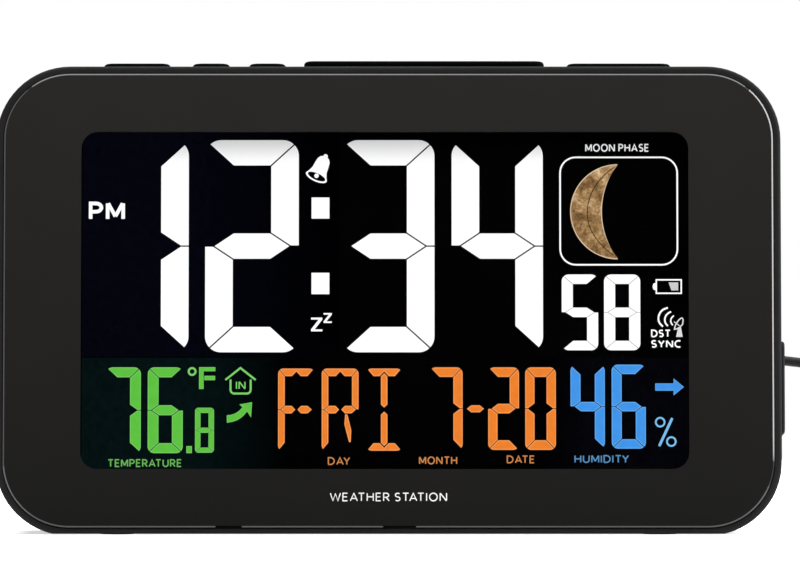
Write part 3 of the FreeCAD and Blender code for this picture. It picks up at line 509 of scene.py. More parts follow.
class Cell:
    """One digit's cell: its sides, stroke widths, corner radius and tip."""

    def __init__(self, x, z, upright, level, corner, tip):
        self.x0, self.x1 = x
        self.z0, self.z1 = z
        self.v = upright
        self.h = level
        self.r = corner
        self.tip = tip
        self.zm = (self.z0 + self.z1) / 2

    def flip_x(self, points):
        return [(self.x0 + self.x1 - x, z) for x, z in points]

    def flip_z(self, points):
        return [(x, self.z0 + self.z1 - z) for x, z in points]

    def top(self):
        left = arc(self.x0 + self.r, self.z1 - self.r, self.r, 135, 90, 5)
        right = arc(self.x1 - self.r, self.z1 - self.r, self.r, 90, 45, 5)
        return left + right + [(self.x1 - self.v, self.z1 - self.h), (self.x0 + self.v, self.z1 - self.h)]

    def upper_right(self):
        corner = arc(self.x1 - self.r, self.z1 - self.r, self.r, 45, 0, 5)
        shoulder = self.zm + self.h / 2
        ends = [(self.x1, self.zm), (self.x1 - self.tip, self.zm), (self.x1 - self.v, shoulder)]
        return corner + ends + [(self.x1 - self.v, self.z1 - self.h)]

    def middle(self):
        up = self.zm + self.h / 2
        down = self.zm - self.h / 2
        left = [(self.x0 + self.v, down), (self.x0 + self.tip, self.zm), (self.x0 + self.v, up)]
        right = [(self.x1 - self.v, up), (self.x1 - self.tip, self.zm), (self.x1 - self.v, down)]
        return left + right

    def segment(self, key):
        if key == "a":
            return self.top()
        if key == "b":
            return self.upper_right()
        if key == "c":
            return self.flip_z(self.upper_right())
        if key == "d":
            return self.flip_z(self.top())
        if key == "e":
            return self.flip_z(self.flip_x(self.upper_right()))
        if key == "f":
            return self.flip_x(self.upper_right())
        return self.middle()

    def digit(self, character, gap):
        return [inset(self.segment(key), gap / 2) for key in DIGITS[character]]


# ---------------------------------------------------------------------------
# Lettering, drawn as strokes along each letter's middle line
# ---------------------------------------------------------------------------


def bend(cx, cz, rx, rz, start, end, steps=10):
    """Points of an elliptical arc in a letter's unit square."""
    return arc(cx, cz, rx, start, end, steps, rz / rx)


BOWL = [(0, 0), (0, 1), (0.28, 1)] + bend(0.28, 0.73, 0.3, 0.27, 90, -90) + [(0.0, 0.46)]
GLYPHS = {
    "A": (0.8, [[(0, 0), (0.4, 1), (0.8, 0)], [(0.13, 0.31), (0.67, 0.31)]]),
    "C": (0.7, [bend(0.46, 0.5, 0.46, 0.5, 62, 298, 16)]),
    "D": (0.74, [[(0, 0), (0, 1), (0.26, 1)] + bend(0.26, 0.5, 0.48, 0.5, 90, -90, 14) + [(0, 0)]]),
    "E": (0.52, [[(0.52, 1), (0, 1), (0, 0), (0.52, 0)], [(0, 0.52), (0.47, 0.52)]]),
    "H": (0.7, [[(0, 0), (0, 1)], [(0.7, 0), (0.7, 1)], [(0, 0.52), (0.7, 0.52)]]),
    "I": (0.0, [[(0, 0), (0, 1)]]),
    "M": (0.84, [
        [(0, 0), (0, 1)],
        [(0.84, 0), (0.84, 1)],
        [(0.03, 1), (0.42, 0.16)],
        [(0.81, 1), (0.42, 0.16)],
    ]),
    "N": (0.74, [[(0, 0), (0, 1)], [(0.02, 1), (0.72, 0)], [(0.74, 0), (0.74, 1)]]),
    "O": (0.88, [bend(0.44, 0.5, 0.44, 0.5, -5, 185, 16), bend(0.44, 0.5, 0.44, 0.5, 175, 365, 16)]),
    "P": (0.58, [BOWL]),
    "R": (0.62, [BOWL, [(0.27, 0.46), (0.62, 0)]]),
    "S": (0.54, [
        bend(0.29, 0.755, 0.27, 0.245, 42, 262, 12) + bend(0.27, 0.255, 0.27, 0.255, 82, -142, 12),
    ]),
    "T": (0.66, [[(0, 1), (0.66, 1)], [(0.33, 1), (0.33, 0)]]),
    "U": (0.7, [[(0, 1)] + bend(0.35, 0.36, 0.35, 0.36, 180, 360, 14) + [(0.7, 1)]]),
    "W": (1.16, [[(0, 1), (0.29, 0), (0.58, 0.94), (0.87, 0), (1.16, 1)]]),
    "Y": (0.7, [[(0, 1), (0.35, 0.46), (0.7, 1)], [(0.35, 0.46), (0.35, 0)]]),
}

# Gaps in a letter's unit, how blunt its corners are, and pairs that stand closer
LETTER_GAP = 0.34
WORD_GAP = 0.72
BLUNT = 0.62
CLOSER = {"AT": 0.2, "TA": 0.2, "AY": 0.22, "RA": 0.04, "TY": 0.12, "WE": 0.05}


def lettering(text):
    """The strokes of a line of text in unit height, and the line's width."""
    lines = []
    pen = 0.0
    for before, character in zip(" " + text, text):
        if character == " ":
            pen += WORD_GAP - LETTER_GAP
            continue
        pen -= CLOSER.get(before + character, 0.0)
        wide, strokes = GLYPHS[character]
        lines.extend([(pen + x, z) for x, z in line] for line in strokes)
        pen += wide + LETTER_GAP
    return lines, pen - LETTER_GAP


def plates(name, loops, front, matrix):
    """Thin plates, one to each loop, which may overlap."""
    verts, faces = [], []
    for loop in loops:
        loop = tidy_loop(loop)
        first, count = len(verts), len(loop)
        verts.extend(matrix @ Vector((x, front, z)) for x, z in loop)
        verts.extend(matrix @ Vector((x, front + INK, z)) for x, z in loop)
        faces.append([first + i for i in range(count)])
        faces.append([first + count + i for i in reversed(range(count))])
        for i in range(count):
            j = (i + 1) % count
            faces.append([first + j, first + i, first + count + i, first + count + j])
    mesh = bpy.data.meshes.new(name)
    mesh.from_pydata([tuple(v) for v in verts], [], faces)
    mesh.validate()
    return mesh


def word(name, text, x, z, slot, weight=0.3, front=CORE_Y, material=None, matrix=DISPLAY):
    """A word stretched to fill a box, with strokes of one weight."""
    lines, wide = lettering(text)
    scale_x = (x[1] - x[0] - weight) / wide
    scale_z = z[1] - z[0] - weight
    loops = []
    for line in lines:
        placed = [(x[0] + weight / 2 + u * scale_x, z[0] + weight / 2 + v * scale_z) for u, v in line]
        loops.append(stroke(placed, weight, BLUNT))
    return piece_from(name, plates(name, loops, front, matrix), slot, material)


# ---------------------------------------------------------------------------
# The white rows: time, seconds, moon and symbols
# ---------------------------------------------------------------------------

# Digits are cells of an upright's width, a bar's height, a corner radius and a tip's reach
TIME_SIZES = (7.05, 6.5, 4.0, 2.15)
SECOND_SIZES = (2.8, 2.42, 1.75, 0.9)
TEMPERATURE_SIZES = (2.8, 2.6, 1.7, 0.95)
TENTHS_SIZES = (1.42, 1.35, 0.85, 0.45)
DAY_SIZES = (1.75, 2.0, 1.35, 0.6)
DATE_SIZES = (2.42, 2.5, 1.55, 0.8)
HUMIDITY_SIZES = (2.6, 2.45, 1.6, 0.95)
TIME_Z = (44.15, 96.15)
TIME_CELLS = [("1", (-71.4, -48.5)), ("2", (-44.8, -21.7)), ("3", (-11.5, 11.35)), ("4", (15.2, 37.75))]
SECOND_Z = (44.75, 63.3)
SECOND_CELLS = [("5", (42.1, 51.05)), ("8", (52.4, 61.3))]


def make_time():
    loops = []
    for character, x in TIME_CELLS:
        loops.extend(Cell(x, TIME_Z, *TIME_SIZES).digit(character, 0.33))
    art("time_digits", loops, "segment_white")
    squares = [boxed((-18.75, -14.4), (76.85, 82.0)), boxed((-18.75, -14.4), (58.45, 63.65))]
    art("time_colon", squares, "segment_white")
    word("pm_mark", "PM", (-73.0, -64.2), (76.35, 81.0), "segment_white", 0.88)


def make_bell():
    """A tilted bell with an open mouth and a round clapper."""
    tilt = math.radians(-24)
    centre = (-16.6, 89.2)
    size = 0.9

    def place(points):
        turned = []
        for x, z in points:
            turned.append((
                centre[0] + size * (x * math.cos(tilt) - z * math.sin(tilt)),
                centre[1] + size * (x * math.sin(tilt) + z * math.cos(tilt)),
            ))
        return turned

    side = [(0.55, 3.35), (1.25, 3.0), (1.75, 2.2), (1.95, 0.9), (2.1, -0.6), (2.6, -1.8), (3.0, -2.5)]
    mouth = arc(0, -2.6, 3.1, 0, -180, 18, 0.42)
    body = side + mouth + [(-x, z) for x, z in reversed(side)]
    hole = arc(0, -2.55, 2.55, 0, 360, 26, 0.36)[:-1]
    clapper = arc(-0.1, -2.35, 0.62, 0, 360, 14)[:-1]
    knob = arc(0, 3.45, 0.62, 0, 360, 14)[:-1]
    art("alarm_bell", [place(body), place(hole)[::-1]], "segment_white")
    art("alarm_clapper", [place(clapper)], "segment_white", CORE_Y - INK)
    art("alarm_knob", [place(knob)], "segment_white", EDGE_Y)


def letter_z(x, z, weight):
    """The letter Z as one outline."""
    (x0, x1), (z0, z1) = x, z
    lean = weight * 1.25
    return [
        (x0, z0), (x1, z0), (x1, z0 + weight), (x0 + lean * 1.5, z0 + weight),
        (x1, z1 - weight), (x1, z1), (x0, z1), (x0, z1 - weight),
        (x1 - lean * 1.5, z1 - weight), (x0, z0 + weight),
    ]


def make_snooze_mark():
    loops = [letter_z((-18.85, -16.1), (49.4, 52.75), 0.48), letter_z((-15.8, -13.8), (51.45, 53.85), 0.38)]
    art("snooze_mark", loops, "segment_white")


def make_seconds():
    """Two digits whose hairline gaps are grey where the bars meet."""
    cells = [(character, Cell(x, SECOND_Z, *SECOND_SIZES)) for character, x in SECOND_CELLS]
    hair = lit("segment_hairline", (0.30, 0.30, 0.30))
    loops = [loop for character, cell in cells for loop in cell.digit(character, 0.11)]
    art("seconds_digits", loops, "segment_white")
    for index, (character, cell) in enumerate(cells):
        for key in DIGITS[character]:
            under = inset(cell.segment(key), 0.02 if key in "bcefg" else 0.1)
            art(f"seconds_ground_{index}_{key}", [under], "segment_white", EDGE_Y, hair)


def crescent(rim):
    """The moon's lit part, drawn in by a rim: outer bow and inner bow."""
    cx, cz, radius = 55.84, 78.52, 11.6 - rim
    outer = arc(cx, cz, radius, 90, 270, 40)
    tip_top = outer[0]
    tip_low = outer[-1]
    inner_x = 51.97 - rim
    half = (tip_top[1] - tip_low[1]) / 2
    bow = tip_top[0] - inner_x
    big = (half * half + bow * bow) / (2 * bow)
    spread = math.degrees(math.asin(half / big))
    inner = arc(inner_x + big, cz, big, 180 + spread, 180 - spread, 30)
    return outer + inner[1:-1]


def make_moon():
    frame_x, frame_z = (41.6, 70.55), (65.4, 92.0)
    line = 0.4
    outer = rounded_box(frame_x, frame_z, 4.0)
    inner_x = (frame_x[0] + line, frame_x[1] - line)
    inner_z = (frame_z[0] + line, frame_z[1] - line)
    art("moon_border", [outer, rounded_box(inner_x, inner_z, 4.0 - line)[::-1]], "segment_white")
    rim = lit("moon_rim", (0.72, 0.56, 0.38))
    art("moon_rim", [crescent(0.0)], "moon_print", EDGE_Y, rim)
    art("moon_crescent", [crescent(0.24)], "moon_print")
    seam = [(54.9, 89.3), (52.6, 87.6), (50.4, 85.0), (48.95, 82.0), (48.3, 78.7), (48.75, 75.2),
            (50.3, 72.2), (52.5, 69.7), (54.7, 67.9)]
    dark = lit("moon_seam", (0.05, 0.022, 0.005))
    art("moon_seam", [stroke(smooth(seam), 0.22)], "moon_print", CORE_Y - INK, dark)
    word("moon_label", "MOON PHASE", (47.95, 63.5), (93.15, 95.1), "segment_white", 0.31)


def smooth(points, rounds=2):
    """Cuts the corners of an open line, keeping its ends."""
    for _ in range(rounds):
        cut = [points[0]]
        for a, b in zip(points, points[1:]):
            cut.append((a[0] * 0.75 + b[0] * 0.25, a[1] * 0.75 + b[1] * 0.25))
            cut.append((a[0] * 0.25 + b[0] * 0.75, a[1] * 0.25 + b[1] * 0.75))
        cut.append(points[-1])
        points = cut
    return points


def make_battery_symbol():
    x, z, line = (65.0, 71.4), (58.5, 62.1), 0.34
    nub = [(x[0], 59.35), (64.45, 59.6), (64.25, 60.3), (64.45, 61.0), (x[0], 61.25)]
    outer = boxed(x, z) + nub[::-1]
    hole = boxed((x[0] + line, x[1] - line), (z[0] + line, z[1] - line))
    art("cell_symbol", [outer, hole[::-1]], "segment_white")
    grey = lit("symbol_grey", (0.62, 0.62, 0.62))
    fill = [(68.15, 61.3), (70.5, 61.3), (70.5, 59.35), (68.85, 59.35)]
    art("cell_level", [fill], "segment_white", CORE_Y, grey)


def make_radio_symbol():
    """Three waves and a dish on a tapering mast."""
    waves = [
        smooth([(67.95, 55.15), (66.5, 54.6), (65.65, 53.2), (65.7, 51.6), (66.75, 50.55)]),
        smooth([(68.75, 54.2), (67.8, 53.7), (67.2, 52.7), (67.25, 51.5), (67.95, 50.7)]),
        smooth([(69.4, 53.2), (68.9, 52.8), (68.65, 52.2), (68.7, 51.5), (69.15, 50.9)]),
    ]
    widths = (0.44, 0.4, 0.34)
    loops = [stroke(line, width) for line, width in zip(waves, widths)]
    art("radio_waves", loops, "segment_white")
    dish = lit("symbol_dish", (0.72, 0.72, 0.72))
    rim = [(69.35, 49.75), (69.6, 50.9), (70.35, 52.15), (71.35, 52.95), (71.85, 52.4), (71.7, 51.1)]
    back = [(71.7, 51.1), (71.2, 50.5), (70.4, 49.9), (69.35, 49.75)]
    bowl = smooth(rim) + smooth(back, 1)[1:-1]
    hole = inset(bowl, 0.3)
    art("radio_dish", [tidy_loop(bowl), hole[::-1]], "segment_white", CORE_Y, dish)
    arm = stroke([(69.45, 51.75), (70.8, 50.75)], 0.22)
    art("radio_arm", [arm], "segment_white", CORE_Y - INK, dish)
    mast = [(70.45, 50.4), (71.15, 50.4), (71.55, 48.05), (69.95, 48.05)]
    art("radio_mast", [mast], "segment_white", CORE_Y + INK, dish)
    word("dst_mark", "DST", (63.85, 68.65), (47.95, 49.85), "segment_white", 0.36)
    word("sync_mark", "SYNC", (63.85, 71.2), (45.4, 47.3), "segment_white", 0.36)


# ---------------------------------------------------------------------------
# The coloured rows
# ---------------------------------------------------------------------------


def colours_of(name, edge, gap):
    """A coloured row's paler edges and the dim tone in its gaps."""
    return {"edge": lit(name + "_edge", edge), "gap": lit(name + "_gap", gap)}


def ground(name, cell, keys, slot, material):
    """The dim tone that shows in the gaps between a digit's segments."""
    for key in keys:
        art(f"{name}_ground_{key}", [inset(cell.segment(key), 0.05)], slot, GAP_Y, material)


def coloured_digits(name, cells, z, sizes, slot, colours):
    """A row of outlined digits; cells are (character, x) pairs."""
    loops = []
    for index, (character, x) in enumerate(cells):
        cell = Cell(x, z, *sizes)
        loops.extend(cell.digit(character, 0.2))
        ground(f"{name}_{index}", cell, DIGITS[character], slot, colours["gap"])
    outlined_art(name, loops, slot, colours, 0.19)


def make_temperature():
    colours = colours_of("green", GREEN_EDGE, GREEN_GAP)
    slot = "film_green"
    cells = [("7", (-68.75, -60.1)), ("6", (-58.6, -49.9))]
    coloured_digits("temperature_digits", cells, (19.75, 40.75), TEMPERATURE_SIZES, slot, colours)
    small = Cell((-47.05, -42.35), (19.9, 30.9), *TENTHS_SIZES)
    loops = small.digit("8", 0.1)
    outlined_art("tenths_digit", loops, slot, colours, 0.12)
    ground("tenths", small, "abcdefg", slot, colours["gap"])
    outlined_art("temperature_point", [boxed((-49.1, -47.75), (19.85, 21.55))], slot, colours, 0.15)
    pale = colours["edge"]
    art("degree_ring", ring(-47.75, 39.65, 1.08, 0.5), slot, CORE_Y, pale)
    top, under = 40.7, 39.72
    letter_f = [(-46.05, 35.4), (-44.95, 35.4), (-44.95, under), (-42.1, under), (-42.1, top), (-46.05, top)]
    bar = boxed((-44.75, -42.15), (37.55, 38.6))
    outlined_art("degree_letter", [letter_f, bar], slot, colours, 0.12)
    caption = lit("green_caption", shade(GREEN_EDGE, 0.72))
    word("temperature_label", "TEMPERATURE", (-68.2, -50.2), (16.45, 18.4), slot, 0.31, CORE_Y, caption)
    make_house(slot, pale)
    make_trend_arrow(slot, colours)


def make_house(slot, pale):
    roof = stroke([(-39.65, 37.6), (-36.0, 40.5), (-32.3, 37.6)], 0.48)
    walls = [(-38.4, 37.7), (-38.4, 35.2)] + arc(-37.5, 35.2, 0.9, 180, 270, 5)[1:]
    walls += arc(-34.4, 35.2, 0.9, 270, 360, 5) + [(-33.5, 37.7)]
    art("house_roof", [roof], slot, CORE_Y, pale)
    art("house_walls", [stroke(walls, 0.48)], slot, CORE_Y, pale)
    word("house_word", "IN", (-37.1, -34.75), (35.3, 37.3), slot, 0.3, CORE_Y, pale)


def make_trend_arrow(slot, colours):
    upper = [(-39.3, 29.0), (-38.0, 29.15), (-36.6, 29.8), (-35.45, 30.95)]
    lower = [(-34.35, 29.95), (-35.5, 28.6), (-37.2, 27.6), (-39.25, 27.2)]
    head = [(-36.2, 31.65), (-33.15, 32.2), (-33.4, 28.5)]
    loop = smooth(upper, 1) + head + smooth(lower, 1)
    outlined_art("trend_arrow", [loop], slot, colours, 0.13)


class LetterCell(Cell):
    """A fourteen-segment letter cell, with split bars and centre bars."""

    NOTCH = 1.05
    NOTCH_UP = 1.1

    def __init__(self, x, z, upright, level, corner, tip):
        super().__init__(x, z, upright, level, corner, tip)
        self.xm = (self.x0 + self.x1) / 2

    def notched_top(self):
        left = arc(self.x0 + self.r, self.z1 - self.r, self.r, 135, 90, 4)
        right = arc(self.x1 - self.r, self.z1 - self.r, self.r, 90, 45, 4)
        under = self.z1 - self.h
        tip = (self.xm, under + self.NOTCH_UP)
        notch = [(self.xm + self.NOTCH, under), tip, (self.xm - self.NOTCH, under)]
        return left + right + [(self.x1 - self.v, under)] + notch + [(self.x0 + self.v, under)]

    def left_dash(self):
        up, down = self.zm + self.h / 2, self.zm - self.h / 2
        point = self.xm - 0.16
        left = [(self.x0 + self.v, down), (self.x0 + self.tip, self.zm), (self.x0 + self.v, up)]
        return left + [(point - 0.95, up), (point, self.zm), (point - 0.95, down)]

    def centre_bar(self):
        half = self.v / 2
        top = self.z1 - self.h + self.NOTCH_UP - 0.2
        low = self.zm + 0.35
        left = [(self.xm - half, low + 0.85), (self.xm - half, top - 0.85), (self.xm, top)]
        return left + [(self.xm + half, top - 0.85), (self.xm + half, low + 0.85), (self.xm, low)]

    def leg(self):
        steps = [(1.15, -1.05), (0.95, -3.6), (2.1, -7.95), (2.65, -8.0), (2.8, -5.0), (1.85, -1.1)]
        return [(self.xm + x, self.zm + z) for x, z in steps]

    def letter(self, key):
        if key == "A":
            return self.notched_top()
        if key == "D":
            return self.flip_z(self.notched_top())
        if key == "g":
            return self.left_dash()
        if key == "G":
            return self.flip_x(self.left_dash())
        if key == "i":
            return self.centre_bar()
        if key == "l":
            return self.flip_z(self.centre_bar())
        if key == "k":
            return self.leg()
        return self.segment(key)


LETTERS = {"F": "AfegG", "R": "AfegGbk", "I": "AilD"}


def make_date():
    colours = colours_of("orange", ORANGE_EDGE, ORANGE_GAP)
    slot = "film_orange"
    letters = [("F", (-26.9, -17.9)), ("R", (-16.3, -7.2)), ("I", (-5.45, 3.35))]
    loops = []
    for index, (character, x) in enumerate(letters):
        cell = LetterCell(x, (20.35, 40.45), *DAY_SIZES)
        for key in LETTERS[character]:
            loops.append(inset(cell.letter(key), 0.09))
            if key in "Afebg":
                under = inset(cell.letter(key), 0.04)
                art(f"day_{index}_ground_{key}", [under], slot, GAP_Y, colours["gap"])
    outlined_art("day_letters", loops, slot, colours, 0.19)
    cells = [("7", (9.95, 18.1)), ("2", (24.15, 31.8)), ("0", (33.15, 40.75))]
    coloured_digits("date_digits", cells, (20.55, 40.75), DATE_SIZES, slot, colours)
    dash = [(19.05, 30.6), (20.1, 31.45), (22.15, 31.45), (23.2, 30.6), (22.15, 29.75), (20.1, 29.75)]
    outlined_art("date_dash", [dash], slot, colours, 0.17)
    caption = lit("orange_caption", shade(ORANGE_EDGE, 0.62))
    for text, x, z in [
        ("DAY", (-14.75, -9.3), (16.95, 18.9)),
        ("MONTH", (7.4, 16.7), (17.1, 19.05)),
        ("DATE", (28.7, 35.5), (17.35, 19.3)),
    ]:
        word(text.lower() + "_label", text, x, z, slot, 0.31, CORE_Y, caption)


def make_humidity():
    colours = colours_of("blue", BLUE_EDGE, BLUE_GAP)
    slot = "film_blue"
    cells = [("4", (44.15, 52.65)), ("6", (54.15, 62.6))]
    coloured_digits("humidity_digits", cells, (20.85, 41.4), HUMIDITY_SIZES, slot, colours)
    head = [(69.3, 33.85), (71.8, 35.9), (69.3, 37.95)]
    arrow = [(64.85, 35.0), (69.3, 35.0)] + head + [(69.3, 36.75), (64.85, 36.75)]
    outlined_art("humidity_arrow", [arrow], slot, colours, 0.13)
    pale = lit("blue_pale", (0.20, 0.52, 0.85))
    for index, (x, z) in enumerate([(66.0, 27.35), (68.7, 22.65)]):
        art(f"percent_ring_{index}", ring(x, z, 1.28, 0.44), slot, CORE_Y, pale)
    art("percent_slash", [stroke([(68.95, 28.35), (65.75, 21.55)], 0.62)], slot, CORE_Y, pale)
    caption = lit("blue_caption", (0.10, 0.27, 0.50))
    word("humidity_label", "HUMIDITY", (45.15, 58.4), (17.45, 19.4), slot, 0.31, CORE_Y, caption)


def make_display_zones():
    """The unlit display's faint tints, each fading out from one x to another."""
    low, high = (15.2, 43.0), (43.2, 97.9)
    tints = [
        ("zone_green", (-74.6, -24.0), low, (0.0015, 0.0054, 0.0058), "film_green", (-46.0, -24.0)),
        ("zone_navy", (-74.6, -12.0), high, (0.0011, 0.0014, 0.0040), "segment_white", (-50.0, -12.0)),
        ("zone_blue", (36.0, 73.0), low, (0.0012, 0.0013, 0.0026), "film_blue", (48.0, 36.0)),
    ]
    for name, x, z, colour, slot, (full, none) in tints:
        material = lit(name, colour, 0.2)
        scale_colour(material, "Emission Color", along(material, "X", none * MM, full * MM))
        art(name, [boxed(x, z)], slot, ZONE_Y, material)


def make_display():
    make_display_zones()
    make_time()
    make_bell()
    make_snooze_mark()
    make_seconds()
    make_moon()
    make_battery_symbol()
    make_radio_symbol()
    make_temperature()
    make_date()
    make_humidity()


# ---------------------------------------------------------------------------
# Bezel: the polished edge and the printed line under the window
# ---------------------------------------------------------------------------

EDGE_CUT = 0.34
EDGE_DEEP = 0.34
EDGE_LIFT = 0.02
EDGE_STEPS = 20
NOTCHES = [(-42.0, -35.6), (-1.3, 6.7)]


def bezel_outline(cut):
    """The bezel's outline, anticlockwise from the right notch round to the left one."""
    x = (-WIDTH / 2 + RIM + cut, WIDTH / 2 - RIM - cut)
    z = (RIM + cut, HEIGHT - RIM - cut)
    loop = rounded_box(x, z, CORNER - RIM - cut, EDGE_STEPS)
    last_corner = 3 * (EDGE_STEPS + 1)
    loop = loop[last_corner:] + loop[:last_corner]
    return [(NOTCHES[1][1], z[0])] + loop + [(NOTCHES[0][0], z[0])]


def edge_strip(name, outline):
    """A three-sided bar along an outline, closed at both ends."""
    rows = [(EDGE_CUT, -EDGE_LIFT), (-EDGE_LIFT, EDGE_DEEP), (0.1, EDGE_DEEP + 0.1)]
    verts = []
    for cut, depth in rows:
        verts.extend(to_row(x, depth, z) for x, z in outline(cut))
    count = len(verts) // len(rows)
    faces = [(0, count, 2 * count), (3 * count - 1, 2 * count - 1, count - 1)]
    for i in range(count - 1):
        for row in range(len(rows)):
            here, below = row * count, (row + 1) % len(rows) * count
            faces.append((here + i, below + i, below + i + 1, here + i + 1))
    mesh = bpy.data.meshes.new(name)
    mesh.from_pydata([tuple(v) for v in verts], [], faces)
    mesh.validate()
    piece_from(name, mesh, "bezel_plastic", POLISHED)


def make_polished_edge():
    """The bright chamfer round the bezel, broken at the two notches."""
    edge_strip("bezel_edge", bezel_outline)
    between = [NOTCHES[0][1], NOTCHES[1][0]]
    edge_strip("bezel_edge_middle", lambda cut: [(x, RIM + cut) for x in between])


def make_bezel_words():
    """The plain printed line under the window."""
    ink = moulded("bezel_ink", (0.62, 0.62, 0.62), 0.5, 0.2, 0.002, 0.3)
    word("bezel_words", "WEATHER STATION", (-14.2, 14.2), (8.0, 10.1), "bezel_plastic", 0.26, -INK, ink)


# The rating label's outer face, its middle, and its lines: name, text, x, z and weight
LABEL_BACK = 33.92
LABEL_MIDDLE = 26.0
LABEL_PRINT = [
    ("title", "WEATHER STATION", (-21.0, 13.0), (85.4, 88.4), 0.46),
    ("power", "POWER INPUT DC", (-21.0, 3.5), (80.6, 82.7), 0.32),
    ("room", "INDOOR USE", (-21.0, -3.5), (76.6, 78.7), 0.32),
]
LABEL_LINE = 0.3
LABEL_FRAME_X = (-24.0, 24.0)
LABEL_FRAME_Z = (69.6, 92.3)


def make_label_print():
    """Plain lines of print in a frame on the rating label, readable from behind."""
    ink = moulded("label_ink", (0.42, 0.42, 0.42), 0.5, 0.2, 0.002, 0.3)
    turned = Matrix.Rotation(math.pi, 4, "Z")
    back = FACE @ Matrix.Translation((LABEL_MIDDLE, LABEL_BACK, 0)) @ turned
    for name, text, x, z, weight in LABEL_PRINT:
        word("label_" + name, text, x, z, "label_paper", weight, -INK, ink, back)
    (left, right), (low, high) = LABEL_FRAME_X, LABEL_FRAME_Z
    sides = (low + LABEL_LINE, high - LABEL_LINE)
    bars = [
        boxed(LABEL_FRAME_X, (high - LABEL_LINE, high)),
        boxed(LABEL_FRAME_X, (low, low + LABEL_LINE)),
        boxed((left, left + LABEL_LINE), sides),
        boxed((right - LABEL_LINE, right), sides),
        boxed((-21.0, 21.0), (73.4, 73.65)),
    ]
    piece_from("label_frame", plates("label_frame", bars, -INK, back), "label_paper", ink)


# ---------------------------------------------------------------------------
# Lead
# ---------------------------------------------------------------------------

CORD_RADIUS = 1.2

# The coil: start in degrees, points past its last turn, and where a turn steps over
COIL_CENTRE = (140.0, -2.0)
COIL_COLUMNS = (18.9, 16.5, 14.1)
COIL_LAYERS = 4
TURN_POINTS = 16
COIL_START = 235
EXTRA_POINTS = 3
STEP_OVER = 0.8
CORD_POINTS = [
    (87.42, 21.99, 42.66),
    (106.0, 21.6, 41.6),
    (113.6, 20.6, 37.2),
    (117.4, 18.2, 29.0),
    (118.8, 14.4, 19.6),
    (119.0, 9.6, 10.8),
    (118.7, 3.6, 4.1),
    (118.3, -3.8, 1.4),
    (119.8, -11.2, 1.2),
    (124.3, -17.2, 1.2),
]
TAIL_POINTS = [
    (145.5, -20.0, 8.4),
    (152.5, -17.2, 8.3),
    (159.5, -12.6, 7.9),
    (167.0, -9.4, 7.6),
    (175.0, -8.6, 7.5),
]


def coil_points():
    """The turns: out to in on the lowest layer, back out on the next."""
    points = []
    start = math.radians(COIL_START)
    turns = len(COIL_COLUMNS) * COIL_LAYERS
    total = turns * TURN_POINTS + EXTRA_POINTS
    pitch = 2 * CORD_RADIUS
    for i in range(total):
        turn, share = divmod(i / TURN_POINTS, 1.0)
        turn = min(int(turn), turns - 1)
        moving = i < turns * TURN_POINTS - 1
        blend = max(0.0, (share - STEP_OVER) / (1.0 - STEP_OVER)) if moving else 0.0
        radius, level = coil_place(turn)
        next_radius, next_level = coil_place(min(turn + 1, turns - 1))
        radius += (next_radius - radius) * blend
        level += (next_level - level) * blend
        angle = start + 2 * math.pi * i / TURN_POINTS
        x = COIL_CENTRE[0] + radius * math.cos(angle)
        y = COIL_CENTRE[1] + radius * math.sin(angle)
        points.append((x, y, CORD_RADIUS + level * pitch))
    return points


def coil_place(turn):
    """A turn's radius and its layer, winding inward then outward."""
    layer, column = divmod(turn, len(COIL_COLUMNS))
    if layer % 2:
        column = len(COIL_COLUMNS) - 1 - column
    return COIL_COLUMNS[column], layer


def make_cord():
    """The adapter's lead: down from the plug, round its coil, and into the adapter."""
    route = CORD_POINTS + coil_points() + TAIL_POINTS[1:]
    curve = bpy.data.curves.new("power_lead", "CURVE")
    curve.dimensions = "3D"
    curve.bevel_depth = CORD_RADIUS * MM
    curve.bevel_resolution = 4
    curve.resolution_u = 4
    curve.use_fill_caps = True
    spline = curve.splines.new("NURBS")
    spline.points.add(len(route) - 1)
    for point, (x, y, z) in zip(spline.points, route):
        point.co = (x * MM, y * MM, z * MM, 1)
    spline.order_u = 3
    spline.use_endpoint_u = True
    curve.materials.append(MATERIALS["cord_rubber"])
    cord = bpy.data.objects.new("power_lead", curve)
    SCENE.collection.objects.link(cord)
    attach(cord, "clock")
    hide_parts("power_cord", "power_cord_coil", "power_cord_tail")


# ---------------------------------------------------------------------------
# Stage, light and camera
# ---------------------------------------------------------------------------

CAMERA_DISTANCE = 1.65
CAMERA_X = 0.0028
CAMERA_HEIGHT = 0.06026
WIDTH_SEEN = 0.19465
SENSOR = 36.0
FLOOR_X = (-0.9, 0.9)
FLOOR_Y = (-0.45, 0.7)
FLOOR_GLOW = 0.55

# Name, place, aim, size in metres, and watts
SOFTBOXES = [
    ("top_box", (0.0, 0.1, 1.6), (0, 0.1, 0), (2.2, 2.0), 58),
    ("right_box", (1.2, 0.0, 0.6), (0, 0, 0.3), (0.7, 1.4), 34),
    ("left_box", (-1.2, 0.0, 0.6), (0, 0, 0.3), (0.7, 1.4), 4.0),
    ("front_box", (0.0, -0.24, 0.36), (0, 0, 0.1), (0.5, 0.12), 0.75),
    ("back_box", (0.1, 1.1, 1.5), (0, 0, 0.05), (1.2, 0.8), 8),
]


def make_camera():
    """A level camera that looks straight at the clock."""
    data = bpy.data.cameras.new("camera")
    data.sensor_width = SENSOR
    data.lens = SENSOR * CAMERA_DISTANCE / WIDTH_SEEN
    camera = bpy.data.objects.new("camera", data)
    SCENE.collection.objects.link(camera)
    face_middle = to_row(0, 0, HEIGHT / 2)
    camera.location = (CAMERA_X, face_middle.y - CAMERA_DISTANCE, CAMERA_HEIGHT)
    camera.rotation_euler = (math.pi / 2, 0, 0)
    SCENE.camera = camera


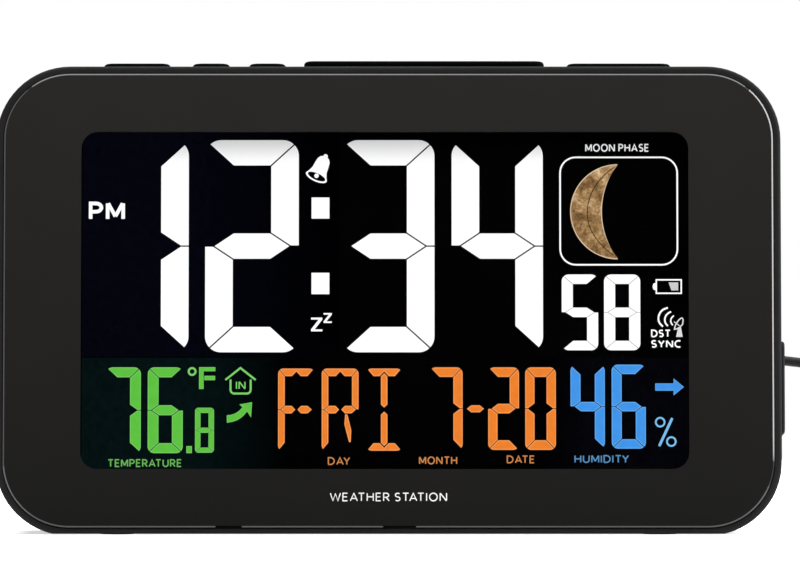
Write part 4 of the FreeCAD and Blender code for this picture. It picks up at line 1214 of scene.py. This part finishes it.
def make_floor():
    """A pale sheet that glows a little, so that it holds no dark shadow."""
    corners = [(x, y, 0) for x, y in boxed(FLOOR_X, FLOOR_Y)]
    mesh = bpy.data.meshes.new("floor")
    mesh.from_pydata(corners, [], [(0, 1, 2, 3)])
    floor = bpy.data.objects.new("floor", mesh)
    SCENE.collection.objects.link(floor)
    material, shader = new_material("floor_pale")
    shader.inputs["Base Color"].default_value = (0.95, 0.95, 0.95, 1)
    shader.inputs["Roughness"].default_value = 0.9
    shader.inputs["Specular IOR Level"].default_value = 0.0
    shader.inputs["Emission Color"].default_value = (1, 1, 1, 1)
    shader.inputs["Emission Strength"].default_value = FLOOR_GLOW
    mesh.materials.append(material)


def make_world():
    """White to the eye, and dim as light, so that the black clock stays black."""
    world = bpy.data.worlds.new("studio")
    SCENE.world = world
    world.use_nodes = True
    tree = world.node_tree
    dim = tree.nodes["Background"]
    dim.inputs["Color"].default_value = (1, 1, 1, 1)
    dim.inputs["Strength"].default_value = 0.03
    bright = tree.nodes.new("ShaderNodeBackground")
    bright.inputs["Color"].default_value = (1, 1, 1, 1)
    bright.inputs["Strength"].default_value = 1.0
    path = tree.nodes.new("ShaderNodeLightPath")
    mix = tree.nodes.new("ShaderNodeMixShader")
    tree.links.new(path.outputs["Is Camera Ray"], mix.inputs["Fac"])
    tree.links.new(dim.outputs["Background"], mix.inputs[1])
    tree.links.new(bright.outputs["Background"], mix.inputs[2])
    tree.links.new(mix.outputs["Shader"], tree.nodes["World Output"].inputs["Surface"])


def softbox(name, place, aim, size, watts):
    """An area light at a place, turned to what it lights."""
    data = bpy.data.lights.new(name, "AREA")
    data.shape = "RECTANGLE"
    data.size, data.size_y = size
    data.energy = watts
    light = bpy.data.objects.new(name, data)
    SCENE.collection.objects.link(light)
    light.location = place
    light.rotation_mode = "QUATERNION"
    direction = Vector(aim) - Vector(place)
    light.rotation_quaternion = direction.to_track_quat("-Z", "Y")


def make_lights():
    for light in SOFTBOXES:
        softbox(*light)


paint_cad_nodes()
make_camera()
make_cord()
make_display()
make_polished_edge()
make_bezel_words()
make_label_print()
make_floor()
make_world()
make_lights()
